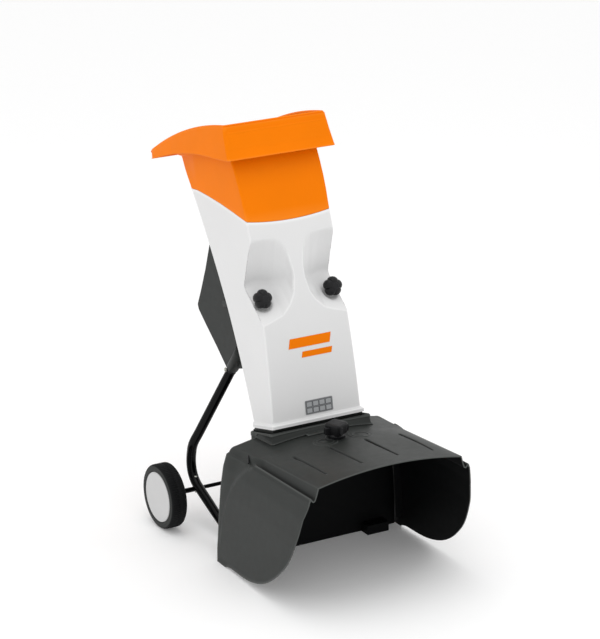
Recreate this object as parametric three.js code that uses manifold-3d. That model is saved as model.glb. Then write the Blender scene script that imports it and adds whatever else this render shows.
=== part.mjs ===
// Upright electric garden chipper: tilted feed hopper on a leaning chute column, disc cutter and
// motor behind the column, bent-tube frame on two wheels, and a wide discharge hood.
// Millimetres, +Z up, the discharge side faces -Y, "left" is -X.
// The cutter parts live in a tilted frame: x as in the machine, y backwards along the cutter axis,
// z up along the leaning column.
import * as THREE from "three";
import { mergeVertices } from "three/addons/utils/BufferGeometryUtils.js";
import Module from "manifold-3d";

const wasm = await Module();
wasm.setup();

// ---- driving dimensions ----
const SHIFT_Y = -157.5; // brings the middle of the overall length to y = 0
const WALL = 4; // moulded wall thickness
const RIGHT_LEFT = [1, -1];
const SIDES = [[-1, "left"], [1, "right"]];

const WHEEL_R = 100;
const WHEEL_W = 50;
const WHEEL_X = 319;
const AXLE_Y = 383;
const AXLE_Z = 100;
const AXLE_R = 6;
const AXLE_BOLT_HOLE_R = 2.7;

const TUBE_R = 13;
const TUBE_X = 212;
const TUBE_FOOT_Z = 13.2;
// straight upper run of the right tube, converging inwards
const TUBE_KINK = [211, 397, 243];
const TUBE_ENTRY = [131, 337, 480];
const TUBE_TOP = [99, 313.4, 575];
// cross screw through each tube socket
const SOCKET_SCREW_Y = 331;
const SOCKET_SCREW_Z = 503;
const SOCKET_SCREW_HOLE_R = 2.9;
const SOCKET_SCREW_TUBE_X = TUBE_ENTRY[0] - 7.6; // tube centre where the screw crosses it

// tilted frame: its lean and its origin in the machine
const TILT = -19.51 * Math.PI / 180;
const PIVOT_Y = 78;
const PIVOT_Z = 706;

// in the tilted frame
const ROTOR_Z = 75; // height of the rotor axis
const PAN_R = 106;
const CHAMBER_R = 101;
const DISC_R = 95;
const SHAFT_R = 8.5;
const SHAFT_BORE_R = SHAFT_R + 0.3;
const BEARING_R = 17.5;
const BEARING_SEAT_R = BEARING_R + 0.3;
const MOTOR_R = 61;
const BLADE_SCREW_RADII = [48, 74];
const KNOB_X = 118.8;
const KNOB_Z = 78.5;
const KNOB_SEAT_Y = 42;
const KNOB_BOLT_R = 5;
const SUPPORT_SCREW_X = 60;
const SUPPORT_SCREW_Z = -141;
const HOUSING_FACE = { y: 371, z: 190, lean: Math.atan2(0.631, 0.776) }; // upper rear face

const RIM_SLOPE = 0.26; // fall of the column's bottom rim towards the back
const HOOD_FRONT_Y = -400;
const HOOD_REAR_Y = 75;
const LATCH_Y = -98;

// ---- materials ----
const finish = (settings) => new THREE.MeshStandardMaterial(settings);
const ORANGE = finish({ color: 0xf57d14, roughness: 0.4 });
const WHITE = finish({ color: 0xe4e5e4, roughness: 0.45 });
const GREY = finish({ color: 0x444644, roughness: 0.6 });
const BLACK = finish({ color: 0x151616, roughness: 0.5 });
const TUBE = finish({ color: 0x0c0c0d, roughness: 0.25, metalness: 0.3 });
const TYRE = finish({ color: 0x232524, roughness: 0.85 });
const CAP = finish({ color: 0xc9c9c8, roughness: 0.5 });
const STEEL = finish({ color: 0xb4b6b8, roughness: 0.35, metalness: 1 });
const ZINC = finish({ color: 0xc8cac8, roughness: 0.3, metalness: 1 });
const ALU = finish({ color: 0xa9adb0, roughness: 0.4, metalness: 1 });
const COPPER = finish({ color: 0xb0622f, roughness: 0.35, metalness: 1 });
const LABEL = finish({ color: 0x9a9c9d, roughness: 0.4, metalness: 0.6 });
const RUBBER = finish({ color: 0x1c1c1c, roughness: 0.9 });
const GREEN = finish({ color: 0x1f8a3b, roughness: 0.5 });
const RED = finish({ color: 0xb81f1a, roughness: 0.5 });
const IRON = finish({ color: 0x55595c, roughness: 0.6, metalness: 1 });

// ---- solid helpers ----
function toSolid(geometry) {
  const bare = geometry.clone();
  for (const key of Object.keys(bare.attributes)) {
    if (key !== "position") bare.deleteAttribute(key);
  }
  const merged = mergeVertices(bare, 1e-4);
  const corners = merged.index.array;
  const triangles = [];
  // leave out slivers that merging has closed up
  for (let i = 0; i < corners.length; i += 3) {
    const [a, b, c] = corners.slice(i, i + 3);
    if (a !== b && b !== c && a !== c) triangles.push(a, b, c);
  }
  const build = () => new wasm.Manifold(new wasm.Mesh({
    numProp: 3,
    vertProperties: new Float32Array(merged.attributes.position.array),
    triVerts: new Uint32Array(triangles),
  }));
  const body = build();
  if (body.volume() >= 0) return body;
  // inside out: turn every triangle over
  for (let i = 0; i < triangles.length; i += 3) {
    [triangles[i + 1], triangles[i + 2]] = [triangles[i + 2], triangles[i + 1]];
  }
  return build();
}

function toGeometry(body) {
  const mesh = body.getMesh();
  const geometry = new THREE.BufferGeometry();
  const positions = new Float32Array(mesh.vertProperties);
  geometry.setAttribute("position", new THREE.BufferAttribute(positions, 3));
  geometry.setIndex(new THREE.BufferAttribute(new Uint32Array(mesh.triVerts), 1));
  return geometry;
}

const join = (...bodies) => bodies.reduce((whole, next) => whole.add(next));
const cut = (body, ...tools) => tools.reduce((rest, tool) => rest.subtract(tool), body);
const largest = (body) => body.decompose().sort((a, b) => b.volume() - a.volume())[0];
const edited = (body, edit) => toSolid(edit(toGeometry(body)));
const moved = (body, x, y, z) => edited(body, (geometry) => geometry.translate(x, y, z));
const transformed = (body, matrix) =>
  edited(body, (geometry) => geometry.applyMatrix4(matrix));

const boxGeometry = (x0, x1, y0, y1, z0, z1) =>
  new THREE.BoxGeometry(x1 - x0, y1 - y0, z1 - z0)
    .translate((x0 + x1) / 2, (y0 + y1) / 2, (z0 + z1) / 2);
const box = (...limits) => toSolid(boxGeometry(...limits));

// cylinders along one axis: radius, the two ends, then the place on the other two axes
const cylX = (radius, x0, x1, y = 0, z = 0, segments = 16) =>
  toSolid(new THREE.CylinderGeometry(radius, radius, x1 - x0, segments)
    .rotateZ(Math.PI / 2).translate((x0 + x1) / 2, y, z));
const cylY = (radius, y0, y1, x = 0, z = 0, segments = 16) =>
  toSolid(new THREE.CylinderGeometry(radius, radius, y1 - y0, segments)
    .translate(x, (y0 + y1) / 2, z));
const cylZ = (radius, z0, z1, x = 0, y = 0, segments = 16) =>
  toSolid(new THREE.CylinderGeometry(radius, radius, z1 - z0, segments)
    .rotateX(Math.PI / 2).translate(x, y, (z0 + z1) / 2));

// a span on the +X side, or its mirror image on the -X side
const sideSpan = (side, near, far) => (side > 0 ? [near, far] : [-far, -near]);

// turned about local Y: [radius, y] pairs, closed on the axis or on the first point
function turned(profile, segments = 24) {
  const points = profile.map(([radius, y]) => new THREE.Vector2(radius, y));
  const onAxis = points[0].x === 0 && points.at(-1).x === 0;
  if (!onAxis) points.push(points[0].clone());
  return toSolid(new THREE.LatheGeometry(points, segments));
}

// outline of [y, z] points carried along X
function prismX(outline, x0, x1) {
  const shape = new THREE.Shape(outline.map(([y, z]) => new THREE.Vector2(y, z)));
  const settings = { depth: x1 - x0, bevelEnabled: false, steps: 1 };
  const geometry = new THREE.ExtrudeGeometry(shape, settings);
  // shape x -> Y, shape y -> Z, depth -> X
  geometry.applyMatrix4(new THREE.Matrix4().set(0, 0, 1, x0, 1, 0, 0, 0, 0, 1, 0, 0, 0, 0, 0, 1));
  return toSolid(geometry);
}

function skin(points, triangles) {
  const geometry = new THREE.BufferGeometry();
  geometry.setAttribute("position", new THREE.Float32BufferAttribute(points.flat(), 3));
  geometry.setIndex(triangles);
  return toSolid(geometry);
}
const quad = (a, b, c, d, flipped = false) =>
  (flipped ? [a, c, b, a, d, c] : [a, b, c, a, c, d]);

// closed skin through equal rings; each cap is zipped between the ring's two halves
function loft(rings) {
  const count = rings[0].length;
  const triangles = [];
  for (let k = 0; k + 1 < rings.length; k++) {
    for (let i = 0; i < count; i++) {
      const here = k * count + i;
      const next = k * count + (i + 1) % count;
      triangles.push(...quad(here, next, next + count, here + count));
    }
  }
  for (const [ring, flipped] of [[0, true], [rings.length - 1, false]]) {
    const capTriangle = (...corners) => {
      const [a, b, c] = corners.map((corner) => ring * count + corner);
      triangles.push(...(flipped ? [a, c, b] : [a, b, c]));
    };
    let i = 0;
    let j = count - 1;
    while (i + 1 < j) {
      capTriangle(i, i + 1, j);
      i++;
      if (i + 1 < j) {
        capTriangle(i, j - 1, j);
        j--;
      }
    }
  }
  return skin(rings.flat(), triangles);
}

// ring: rounded rectangle seen from above, mirrored about x = 0; z is a level or a function (x, y)
function plan(halfWidth, y0, y1, frontR, rearR, z, segments = 2) {
  const half = [[0.001, y0]];
  const corner = (x, y, radius, start) => {
    for (let i = 0; i <= segments; i++) {
      const angle = start + Math.PI / 2 * i / segments;
      half.push([x + radius * Math.cos(angle), y + radius * Math.sin(angle)]);
    }
  };
  corner(halfWidth - frontR, y0 + frontR, frontR, -Math.PI / 2);
  corner(halfWidth - rearR, y1 - rearR, rearR, 0);
  half.push([0.001, y1]);
  const mirrored = half.map(([x, y]) => [-x, y]).reverse();
  return [...half, ...mirrored].map(([x, y]) => [x, y, typeof z === "function" ? z(x, y) : z]);
}

// block whose lower face is the surface z = floor(x, y) over a grid, with a flat top
function above(xs, ys, floor, top) {
  const points = [];
  for (const level of [0, 1]) {
    for (const y of ys) for (const x of xs) points.push([x, y, level ? top : floor(x, y)]);
  }
  const lastX = xs.length - 1;
  const lastY = ys.length - 1;
  const at = (level, j, i) => (level * ys.length + j) * xs.length + i;
  const triangles = [];
  for (let j = 0; j < lastY; j++) {
    for (let i = 0; i < lastX; i++) {
      for (const level of [0, 1]) {
        triangles.push(...quad(at(level, j, i), at(level, j + 1, i), at(level, j + 1, i + 1),
          at(level, j, i + 1), level === 1));
      }
    }
  }
  for (let i = 0; i < lastX; i++) {
    for (const j of [0, lastY]) {
      triangles.push(...quad(at(0, j, i), at(0, j, i + 1), at(1, j, i + 1), at(1, j, i), j > 0));
    }
  }
  for (let j = 0; j < lastY; j++) {
    for (const i of [0, lastX]) {
      triangles.push(...quad(at(0, j, i), at(0, j + 1, i), at(1, j + 1, i), at(1, j, i), i === 0));
    }
  }
  return skin(points, triangles);
}

const lerp = (a, b, t) => a + (b - a) * t;

// value at a key from rows of [key, value], held constant beyond both ends
function lookUp(rows, key) {
  for (let i = 0; i + 1 < rows.length; i++) {
    const [[key0, value0], [key1, value1]] = [rows[i], rows[i + 1]];
    if (key <= key1) return lerp(value0, value1, Math.max(0, (key - key0) / (key1 - key0)));
  }
  return rows.at(-1)[1];
}

// outline of [y, z] points with every edge moved inwards
function insetOutline(outline, distance) {
  return outline.map(([y, z], i) => {
    const before = outline[(i + outline.length - 1) % outline.length];
    const after = outline[(i + 1) % outline.length];
    const normal1 = [z - before[1], before[0] - y];
    const normal2 = [after[1] - z, y - after[0]];
    const length1 = Math.hypot(...normal1);
    const length2 = Math.hypot(...normal2);
    const sumY = normal1[0] / length1 + normal2[0] / length2;
    const sumZ = normal1[1] / length1 + normal2[1] / length2;
    const scale = 2 * distance / (sumY * sumY + sumZ * sumZ);
    return [y - sumY * scale, z - sumZ * scale];
  });
}

// scalloped grip along +Z with chamfered ends; sharpness shapes the notches between the lobes
function lobedGrip({ radius, lobes, notch, sharpness, start, steps, depth, chamfer, swell }) {
  const shape = new THREE.Shape();
  for (let i = 0; i <= steps; i++) {
    const turn = i / steps * Math.PI * 2;
    const fullness = Math.pow(Math.abs(Math.cos(lobes * turn / 2)), sharpness);
    const reach = radius - notch * (1 - fullness);
    const x = reach * Math.cos(start + turn);
    const y = reach * Math.sin(start + turn);
    if (i) shape.lineTo(x, y);
    else shape.moveTo(x, y);
  }
  return new THREE.ExtrudeGeometry(shape, {
    depth, bevelEnabled: true, bevelThickness: chamfer, bevelSize: swell,
    bevelSegments: 1, curveSegments: 4,
  });
}

// ---- frames ----
function frameAt(x, y, z, lean = 0) {
  const group = new THREE.Group();
  group.position.set(x, y, z);
  group.rotation.x = lean;
  group.updateMatrix();
  return group;
}
const root = frameAt(0, SHIFT_Y, 0);
const tilt = frameAt(0, PIVOT_Y, PIVOT_Z, TILT);
root.add(tilt);
const fromTilt = tilt.matrix;
const intoTilt = fromTilt.clone().invert();
const tilted = (body) => transformed(body, fromTilt);
const untilted = (body) => transformed(body, intoTilt);

function put(name, body, material, parent = root) {
  const geometry = toGeometry(body.simplify(0.03)).toNonIndexed();
  geometry.computeVertexNormals();
  const mesh = new THREE.Mesh(geometry, material);
  mesh.name = name;
  parent.add(mesh);
}

// cylinder on the line of a tube's upper run, between two fractions of it
function rod(side, radius, from, to) {
  const entry = new THREE.Vector3(side * TUBE_ENTRY[0], TUBE_ENTRY[1], TUBE_ENTRY[2]);
  const top = new THREE.Vector3(side * TUBE_TOP[0], TUBE_TOP[1], TUBE_TOP[2]);
  const run = top.sub(entry);
  const start = entry.clone().addScaledVector(run, from);
  const end = entry.clone().addScaledVector(run, to);
  const geometry = new THREE.CylinderGeometry(radius, radius, start.distanceTo(end), 20);
  const up = new THREE.Vector3(0, 1, 0);
  geometry.applyQuaternion(new THREE.Quaternion().setFromUnitVectors(up, run.normalize()));
  geometry.translate((start.x + end.x) / 2, (start.y + end.y) / 2, (start.z + end.z) / 2);
  return toSolid(geometry);
}

// cylinder on a clamp knob's axis, tilted frame
const knobCylinder = (side, radius, y0, y1, segments = 14) =>
  cylY(radius, y0, y1, side * KNOB_X, KNOB_Z, segments);
const supportScrewHole = (side) =>
  cylY(2.8, 150, 260, side * SUPPORT_SCREW_X, SUPPORT_SCREW_Z, 14);

// ================= chute column =================
const FRONT_CORNER = 5;
const REAR_CORNER = 10;
function columnFront(z) {
  const rise = z - 427;
  return 13.4 + 0.1713 * rise + 2.149e-4 * rise * rise;
}
function columnRear(z) {
  const rise = z - 375;
  return 127.8 + 0.4767 * rise + 2.558e-4 * rise * rise;
}
// [z, half width]
const COLUMN_WIDTHS = [
  [380, 151], [427, 150], [706, 143], [935, 140.7], [995, 140.6],
  [1087, 141.7], [1154.5, 142.9], [1200, 143.5],
];
const columnHalfWidth = (z) => lookUp(COLUMN_WIDTHS, z);

// column outside, moved inwards by inset; the factors allow for the lean of the walls
const columnLoft = (levels, inset) => loft(levels.map((z) => plan(columnHalfWidth(z) - inset,
  columnFront(z) + inset * 1.06, columnRear(z) - inset * 1.1, FRONT_CORNER, REAR_CORNER, z, 1)));
const column = (inset) => columnLoft([370, 427, 520, 630, 740, 850, 950, 1030], inset);

// plane parallel to the column's bottom rim, named by its level at y = 0
const rimPlane = (level) => (x, y) => level - RIM_SLOPE * y;

// seam between column and hopper: [y, z] along the sides, dipping towards the middle at the back
const SEAM_SIDE = [
  [100, 995.5], [179, 995.5], [260, 1004], [337, 1010.5], [414, 1014], [480, 1015], [560, 1006],
];
const SEAM_X = [-200, -141, -90, -45, 0, 45, 90, 141, 200];
const SEAM_Y = [40, 179, 337, 480, 560, 780];
function seam(x, y) {
  const towardsMiddle = 1 - Math.min(1, (x / 140) ** 2);
  const towardsFront = Math.max(0, y - 180) / 157;
  return lookUp(SEAM_SIDE, y) - 10.5 * towardsMiddle * Math.max(0, 1 - towardsFront);
}
const aboveSeam = (offset, top) => above(SEAM_X, SEAM_Y, (x, y) => seam(x, y) + offset, top);

// front recesses beside the middle rib, tilted frame: [x, z] of their upper and lower edges
const SCOOP_TOP = [
  [18, 150], [20, 153], [28, 195], [40, 220], [60, 239], [92, 246], [115, 246], [141, 244],
  [160, 243],
];
const SCOOP_LOW = [
  [18, 125], [20, 121], [28, 82], [45, 52], [72, 24], [112, 10], [142, 0], [160, -5],
];
const SCOOP_X = [18.5, 26, 38, 56, 80, 110, 141, 152];
// each ring is a notch in the tilted y-z plane; grow enlarges it to leave a wall
function scoop(side, grow) {
  const rings = SCOOP_X.map((station, i) => {
    const across = THREE.MathUtils.clamp((station - SCOOP_X[0]) / 123, 0, 1);
    const depth = 80 * Math.pow(Math.sin(Math.PI / 2 * across), 0.8)
      + (station > 141 ? 4 : 0) + grow * 1.2;
    const low = lookUp(SCOOP_LOW, station) - grow * 1.25;
    const high = lookUp(SCOOP_TOP, station) + grow * 1.3;
    const ledge = Math.min(low + depth / 0.655, high - 6);
    const roof = [0.33, 0.67].map((t) =>
      [depth * (1 - t) + depth * 0.16 * Math.sin(Math.PI * t), lerp(ledge + 4, high, t)]);
    const notch = [
      [-70, low - 40],
      [-0.5, low],
      [depth * 0.5, lerp(low, ledge, 0.5)],
      [depth * 0.93, lerp(low, ledge, 0.93)],
      [depth, ledge + 4],
      ...roof,
      [-3, high],
      [-70, high + 30],
    ];
    const x = station - grow * (i === 0 ? 1.2 : 0.4) + (i === SCOOP_X.length - 1 ? 6 : 0);
    return notch.map(([y, z]) => [side * x, y, z]);
  });
  return loft(rings);
}

function columnShell() {
  // front hollows: scoops, and a round pocket for each clamp knob
  const hollows = (grow) => [
    ...RIGHT_LEFT.map((side) => tilted(scoop(side, grow))),
    ...RIGHT_LEFT.map((side) => tilted(knobCylinder(side, 32.5 + grow, -40, KNOB_SEAT_Y + grow))),
  ];
  // flared rim, standing proud round the foot
  const rim = loft([
    plan(156.5, -4, 126.2, 6, 10, 372),
    plan(156.5, 2, 139, 6, 10, 398),
    plan(152, 9, 152, 6, 10, 424),
  ]).subtract(above([-200, 200], [-60, 260], rimPlane(427), 1300));
  const outer = cut(column(0).add(rim), ...hollows(0));
  // bolt tunnels stay solid inside the cavity
  const tunnels = RIGHT_LEFT.map((side) => tilted(knobCylinder(side, 12, KNOB_SEAT_Y + 3, 262)));
  const inner = cut(column(WALL), ...hollows(WALL), ...tunnels);
  // seat bosses behind the pocket floors
  const seats = RIGHT_LEFT.map((side) =>
    tilted(knobCylinder(side, 17, KNOB_SEAT_Y, 75)).subtract(inner));
  let shell = join(cut(outer, inner), ...seats);
  // bolt bores, wider at the rear end for the captive washer
  for (const side of RIGHT_LEFT) {
    shell = cut(shell, tilted(knobCylinder(side, 6, 20, 300)),
      tilted(knobCylinder(side, 9.5, 190, 300)));
  }
  // opening for the cutter pan
  shell = cut(shell, tilted(cylY(PAN_R + 3, 150, 330, 0, ROTOR_Z, 24)));
  // trims: bottom rim plane, seam with the hopper
  const belowRim = box(-300, 300, -200, 400, 0, 600)
    .subtract(above([-310, 310], [-210, 410], rimPlane(412), 1400));
  return largest(cut(shell, belowRim, aboveSeam(-0.15, 1400)));
}
put("column_shell", columnShell(), WHITE);

// ================= feed hopper =================
// [z, y] of the funnel's front and rear walls
const HOPPER_FRONT = [
  [960, columnFront(960)], [985, columnFront(985)], [995, 180], [1050, 201], [1087, 218],
  [1125, 239], [1154.5, 257.4], [1185, 277],
];
const HOPPER_REAR = [
  [960, columnRear(960)], [1000, columnRear(1000)], [1010, 530], [1053, 567], [1096, 603],
  [1125, 628], [1185, 680],
];
// [y, z] of the rim skirt's lower and upper edges
const SKIRT_LOW = [
  [200, 1178], [213, 1175], [320, 1160], [403, 1151], [527, 1124], [691, 1068], [720, 1056],
];
const SKIRT_TOP = [
  [220, 1279], [266, 1271], [326, 1258], [395, 1238], [486, 1209], [644, 1136], [715, 1091],
  [730, 1083],
];
function feedHopper() {
  const front = (z) => lookUp(HOPPER_FRONT, z);
  const rear = (z) => lookUp(HOPPER_REAR, z);
  const skirtZ = (t) => (x, y) => lerp(lookUp(SKIRT_LOW, y), lookUp(SKIRT_TOP, y), t);
  const aboveSkirt = (offset) => (x, y) => lookUp(SKIRT_TOP, y) + offset;
  // outside of the rim, leaning inwards towards its top: [fraction of height, half width]
  const skirt = loft([[0, 180], [0.45, 176], [1, 170]].map(([t, halfWidth]) =>
    plan(halfWidth, lerp(213, 262, t), lerp(693, 715, t), 20, 34, skirtZ(t), 3)));
  // hollow under the skirt
  const under = loft([
    plan(176, 218, 688, 18, 32, (x, y) => lookUp(SKIRT_LOW, y) - 30),
    plan(176, 218, 688, 18, 32, skirtZ(0.05)),
    plan(171, 252, 700, 18, 32, (x, y) => skirtZ(0.8)(x, y) - 2),
  ]);
  const throatRing = (z, inset) => plan(columnHalfWidth(z) - inset, front(z) + inset * 1.1,
    rear(z) - inset * 1.2, FRONT_CORNER, REAR_CORNER, z);
  // level at the seam, tilting towards the mouth
  const funnelRing = (t, inset) => {
    const frontZ = lerp(1010, 1180, t);
    const rearZ = lerp(1010, 1096, t);
    const y0 = front(frontZ) + inset * 1.15;
    const y1 = rear(rearZ) - inset * 1.35;
    return plan(lerp(columnHalfWidth(1010), 146, t) - inset, y0, y1, 5 + 5 * t, 10 + 14 * t,
      (x, y) => lerp(frontZ, rearZ, (y - y0) / (y1 - y0)));
  };
  const funnelRings = (inset) => [
    throatRing(960, inset),
    throatRing(985, inset),
    ...[0, 0.3, 0.6, 0.85, 1].map((t) => funnelRing(t, inset)),
    plan(166 - inset, 270 + inset, 706 - inset, 16, 30, aboveSkirt(-9)),
  ];
  // the hollow runs on upwards through the mouth
  const mouth = plan(165 - WALL, 262 + WALL * 1.6, 710 - WALL, 16, 30, aboveSkirt(60));
  const hollow = loft([...funnelRings(WALL), mouth]);
  const body = cut(skirt.subtract(under).add(loft(funnelRings(0))), hollow)
    .intersect(aboveSeam(0.15, 1500));
  // spigot that drops into the column
  const spigotLoft = (inset) => columnLoft([960, 1000, 1040], inset);
  const spigot = cut(spigotLoft(5.6), spigotLoft(8)).intersect(aboveSeam(-14, 1030));
  return largest(join(body, spigot).subtract(spigotLoft(8)));
}
put("feed_hopper", feedHopper(), ORANGE);

// rubber sheet with four slits, sloping back and down from the front wall of the throat
const splashCurtain = cut(
  prismX([[225, 1088], [228, 1088], [331, 975], [328, 974]], -126, 126),
  ...[-75, -25, 25, 75].map((x) => box(x - 1, x + 1, 240, 360, 930, 1060)));
put("splash_curtain", splashCurtain, RUBBER);

// guide ramp inside the column, turns the feed onto the disc
const guideRamp = cut(
  prismX([[9, 90], [13, 93.5], [182, 24], [180, 20]], -104, 104),
  ...RIGHT_LEFT.map((side) => scoop(side, WALL + 3)),
  ...RIGHT_LEFT.map((side) => knobCylinder(side, 38, -60, 48)),
  ...RIGHT_LEFT.map((side) => knobCylinder(side, 13, 40, 300)));
put("guide_ramp", largest(guideRamp), GREY, tilt);

// blank plate on the column's front
function dataPlate() {
  const [bottom, top] = [432, 473];
  const gap = 0.3;
  const thickness = 0.9;
  return prismX([
    [columnFront(bottom) - gap - thickness, bottom],
    [columnFront(bottom) - gap, bottom],
    [columnFront(top) - gap, top],
    [columnFront(top) - gap - thickness, top],
  ], -36.6, 56);
}
put("data_plate", dataPlate(), LABEL);

// ================= cutter base (tilted frame) =================
// tilted y of the column's rear wall at a tilted z, found by stepping until it settles
function rearWall(z) {
  const [sine, cosine] = [0.334, 0.9426]; // of the tilt
  let wallY = 200;
  for (let i = 0; i < 20; i++) {
    const machineY = PIVOT_Y + sine * z + cosine * wallY;
    const machineZ = PIVOT_Z + cosine * z - sine * wallY;
    wallY += (columnRear(machineZ) - machineY) * 0.8;
  }
  return wallY;
}
// point a given distance behind the rear wall
const behind = (offset, z) => [rearWall(z) + offset, z];
// plate following the rear wall between two distances behind it
const wallPlate = (levels, near, far, halfWidth) => prismX([
  ...levels.map((z) => behind(near, z)),
  ...levels.map((z) => behind(far, z)).reverse(),
], -halfWidth, halfWidth);

function cutterBase() {
  // pan with its rear plate and bearing boss
  const pan = turned([
    [0, 204], [CHAMBER_R, 204], [CHAMBER_R, 186], [PAN_R, 186], [PAN_R, 240], [88, 240],
    [88, 214], [26, 214], [26, 236], [0, 236],
  ]);
  const bearingBore = turned([
    [0, 150], [9.4, 150], [9.4, 217], [BEARING_SEAT_R, 217], [BEARING_SEAT_R, 260], [0, 260],
  ], 20);
  let base = wallPlate([-122, -20, 90, 200, 300], 1.2, 11, 128);
  base = cut(base, cylY(95, 150, 330, 0, ROTOR_Z, 24)).add(moved(pan, 0, 0, ROTOR_Z));
  base = cut(base, moved(bearingBore, 0, 0, ROTOR_Z));
  // shoe on the upper rim that carries the counter blade
  base = base.add(box(-25, 25, 186.2, 192, ROTOR_Z + 98, ROTOR_Z + 104.5));
  // chip exit through the lower rim
  base = cut(base, box(-62, 62, 170, 203.8, ROTOR_Z - 120, ROTOR_Z - 60));
  // insert bosses behind the plate
  for (const side of RIGHT_LEFT) {
    base = base.add(knobCylinder(side, 13, rearWall(KNOB_Z) + 6, 262, 24));
    base = cut(base, knobCylinder(side, 8.3, 236, 300, 24), knobCylinder(side, 6, 150, 300, 24));
  }
  // lower flange, laps behind the rear upright
  const flange = prismX([
    behind(8.6, -121), behind(8.6, -160), behind(14, -160), [rearWall(-123) + 14, -122.8],
    [rearWall(-122) + 10.9, -122.8], behind(10.9, -121),
  ], -80, 80);
  return cut(base.add(flange), ...RIGHT_LEFT.map(supportScrewHole));
}
put("cutter_base", cutterBase(), GREY, tilt);

for (const [side, name] of SIDES) {
  const sleeve = turned([[5.4, 238], [8, 238], [8, 261], [5.4, 261]], 20);
  put("threaded_insert_" + name, moved(sleeve, side * KNOB_X, 0, KNOB_Z), ZINC, tilt);
}

// ================= motor housing and switch (tilted frame) =================
const switchFrame = frameAt(0, HOUSING_FACE.y, HOUSING_FACE.z, HOUSING_FACE.lean);

function motorHousing() {
  const lowerRear = [338, -122]; // ends of the lower rear face
  const upperRear = [462, 68];
  const outline = [
    behind(12, -122), lowerRear, [383, -50], [431, 20], upperRear, [464, 87],
    [425, 128], [371, 190], [310, 269], [rearWall(300) + 12, 302],
  ];
  const outer = prismX([...outline, ...[200, 120, 40, -40].map((z) => behind(12, z))], -115, 115);
  // the cavity runs out through the open front
  const inset = insetOutline(outline, 4.2);
  const cavity = [[150, inset[0][1]], ...inset.slice(1, 9), [150, inset[9][1] - 2]];
  let housing = cut(outer, prismX(cavity, -111, 111));
  // vents in the lower rear face
  for (let i = 0; i < 5; i++) {
    const t = 0.2 + i * 0.14;
    const y = lerp(lowerRear[0], upperRear[0], t);
    const z = lerp(lowerRear[1], upperRear[1], t);
    housing = cut(housing, box(-70, 70, y - 14, y + 14, z - 3, z + 3));
  }
  // opening for the switch box in the upper rear face
  housing = cut(housing, transformed(box(-34, 34, -30, 12, -40, 40), switchFrame.matrix));
  // clearance round the pan and the insert bosses
  housing = cut(housing, cylY(PAN_R + 2, 150, 242, 0, ROTOR_Z, 24),
    ...RIGHT_LEFT.map((side) => knobCylinder(side, 14.5, 150, 264, 24)));
  // sockets for the frame tubes
  const sockets = RIGHT_LEFT.map((side) => untilted(rod(side, TUBE_R + 5, 0.02, 1.06)));
  const bores = RIGHT_LEFT.map((side) => untilted(rod(side, TUBE_R + 0.5, -0.4, 1.01)));
  const screwHoles = RIGHT_LEFT.map((side) => untilted(cylX(SOCKET_SCREW_HOLE_R,
    ...sideSpan(side, 60, 160), SOCKET_SCREW_Y, SOCKET_SCREW_Z, 14)));
  return largest(cut(join(housing, ...sockets), ...bores, ...screwHoles));
}
put("motor_housing", motorHousing(), GREY, tilt);

// switch unit: local -Y goes into the housing
tilt.add(switchFrame);
const START_Z = 22;
const STOP_Z = -6;
const switchBox = cut(
  box(-33.5, 33.5, -24, 1.5, -39.5, 39.5),
  cylY(11.4, -20, 10, 0, START_Z, 24),
  cylY(11.4, -20, 10, 0, STOP_Z, 24),
  box(-15, 15, -20, 10, -37, -21));
put("switch_box", switchBox, BLACK, switchFrame);
const startButton = turned([[0, -12], [11, -12], [11, 3], [10, 5], [0, 5]], 16);
put("start_button", moved(startButton, 0, 0, START_Z), GREEN, switchFrame);
const stopButton = turned([[0, -12], [11, -12], [11, 5], [10, 7.5], [0, 7.5]], 16);
put("stop_button", moved(stopButton, 0, 0, STOP_Z), RED, switchFrame);
const powerInlet = join(
  box(-14.6, 14.6, -19.6, -14, -36.6, -21.4),
  ...[-7, 0, 7].map((x) => box(x - 1.5, x + 1.5, -15, -4, -31, -27)));
put("power_inlet", powerInlet, STEEL, switchFrame);

// ================= motor and disc, on the rotor axis =================
const rotorAxis = frameAt(0, 0, ROTOR_Z);
tilt.add(rotorAxis);

// name, material, segments, [radius, y] profile
const MOTOR_PIECES = [
  ["motor_front_shield", ALU, 20,
    [[12, 241], [MOTOR_R, 241], [MOTOR_R, 252], [20, 252], [20, 246], [12, 246]]],
  ["front_bearing", STEEL, 16,
    [[SHAFT_BORE_R, 217.4], [BEARING_R, 217.4], [BEARING_R, 230], [SHAFT_BORE_R, 230]]],
  ["stator_core", IRON, 20, [[35.3, 264], [MOTOR_R, 264], [MOTOR_R, 350], [35.3, 350]]],
  ["front_winding", COPPER, 20,
    [[38, 254], [57, 254], [59, 259], [57, 263.7], [38, 263.7]]],
  ["rear_winding", COPPER, 20,
    [[38, 350.3], [57, 350.3], [59, 356], [57, 361], [38, 361]]],
  ["motor_rear_shield", ALU, 20,
    [[12, 369], [BEARING_SEAT_R, 369], [BEARING_SEAT_R, 381], [24, 381], [24, 372],
      [MOTOR_R, 372], [MOTOR_R, 364], [20, 364], [12, 364]]],
  ["rear_bearing", STEEL, 16,
    [[SHAFT_BORE_R, 369.3], [BEARING_R, 369.3], [BEARING_R, 380.5], [SHAFT_BORE_R, 380.5]]],
  ["rotor_shaft", STEEL, 16,
    [[0, 226], [4.4, 226], [4.4, 198.4], [SHAFT_R, 198.4], [SHAFT_R, 404], [0, 404]]],
  ["rotor_core", IRON, 20,
    [[SHAFT_BORE_R, 266], [34.6, 266], [34.6, 348], [SHAFT_BORE_R, 348]]],
];
for (const [name, material, segments, profile] of MOTOR_PIECES) {
  put(name, turned(profile, segments), material, rotorAxis);
}

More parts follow.
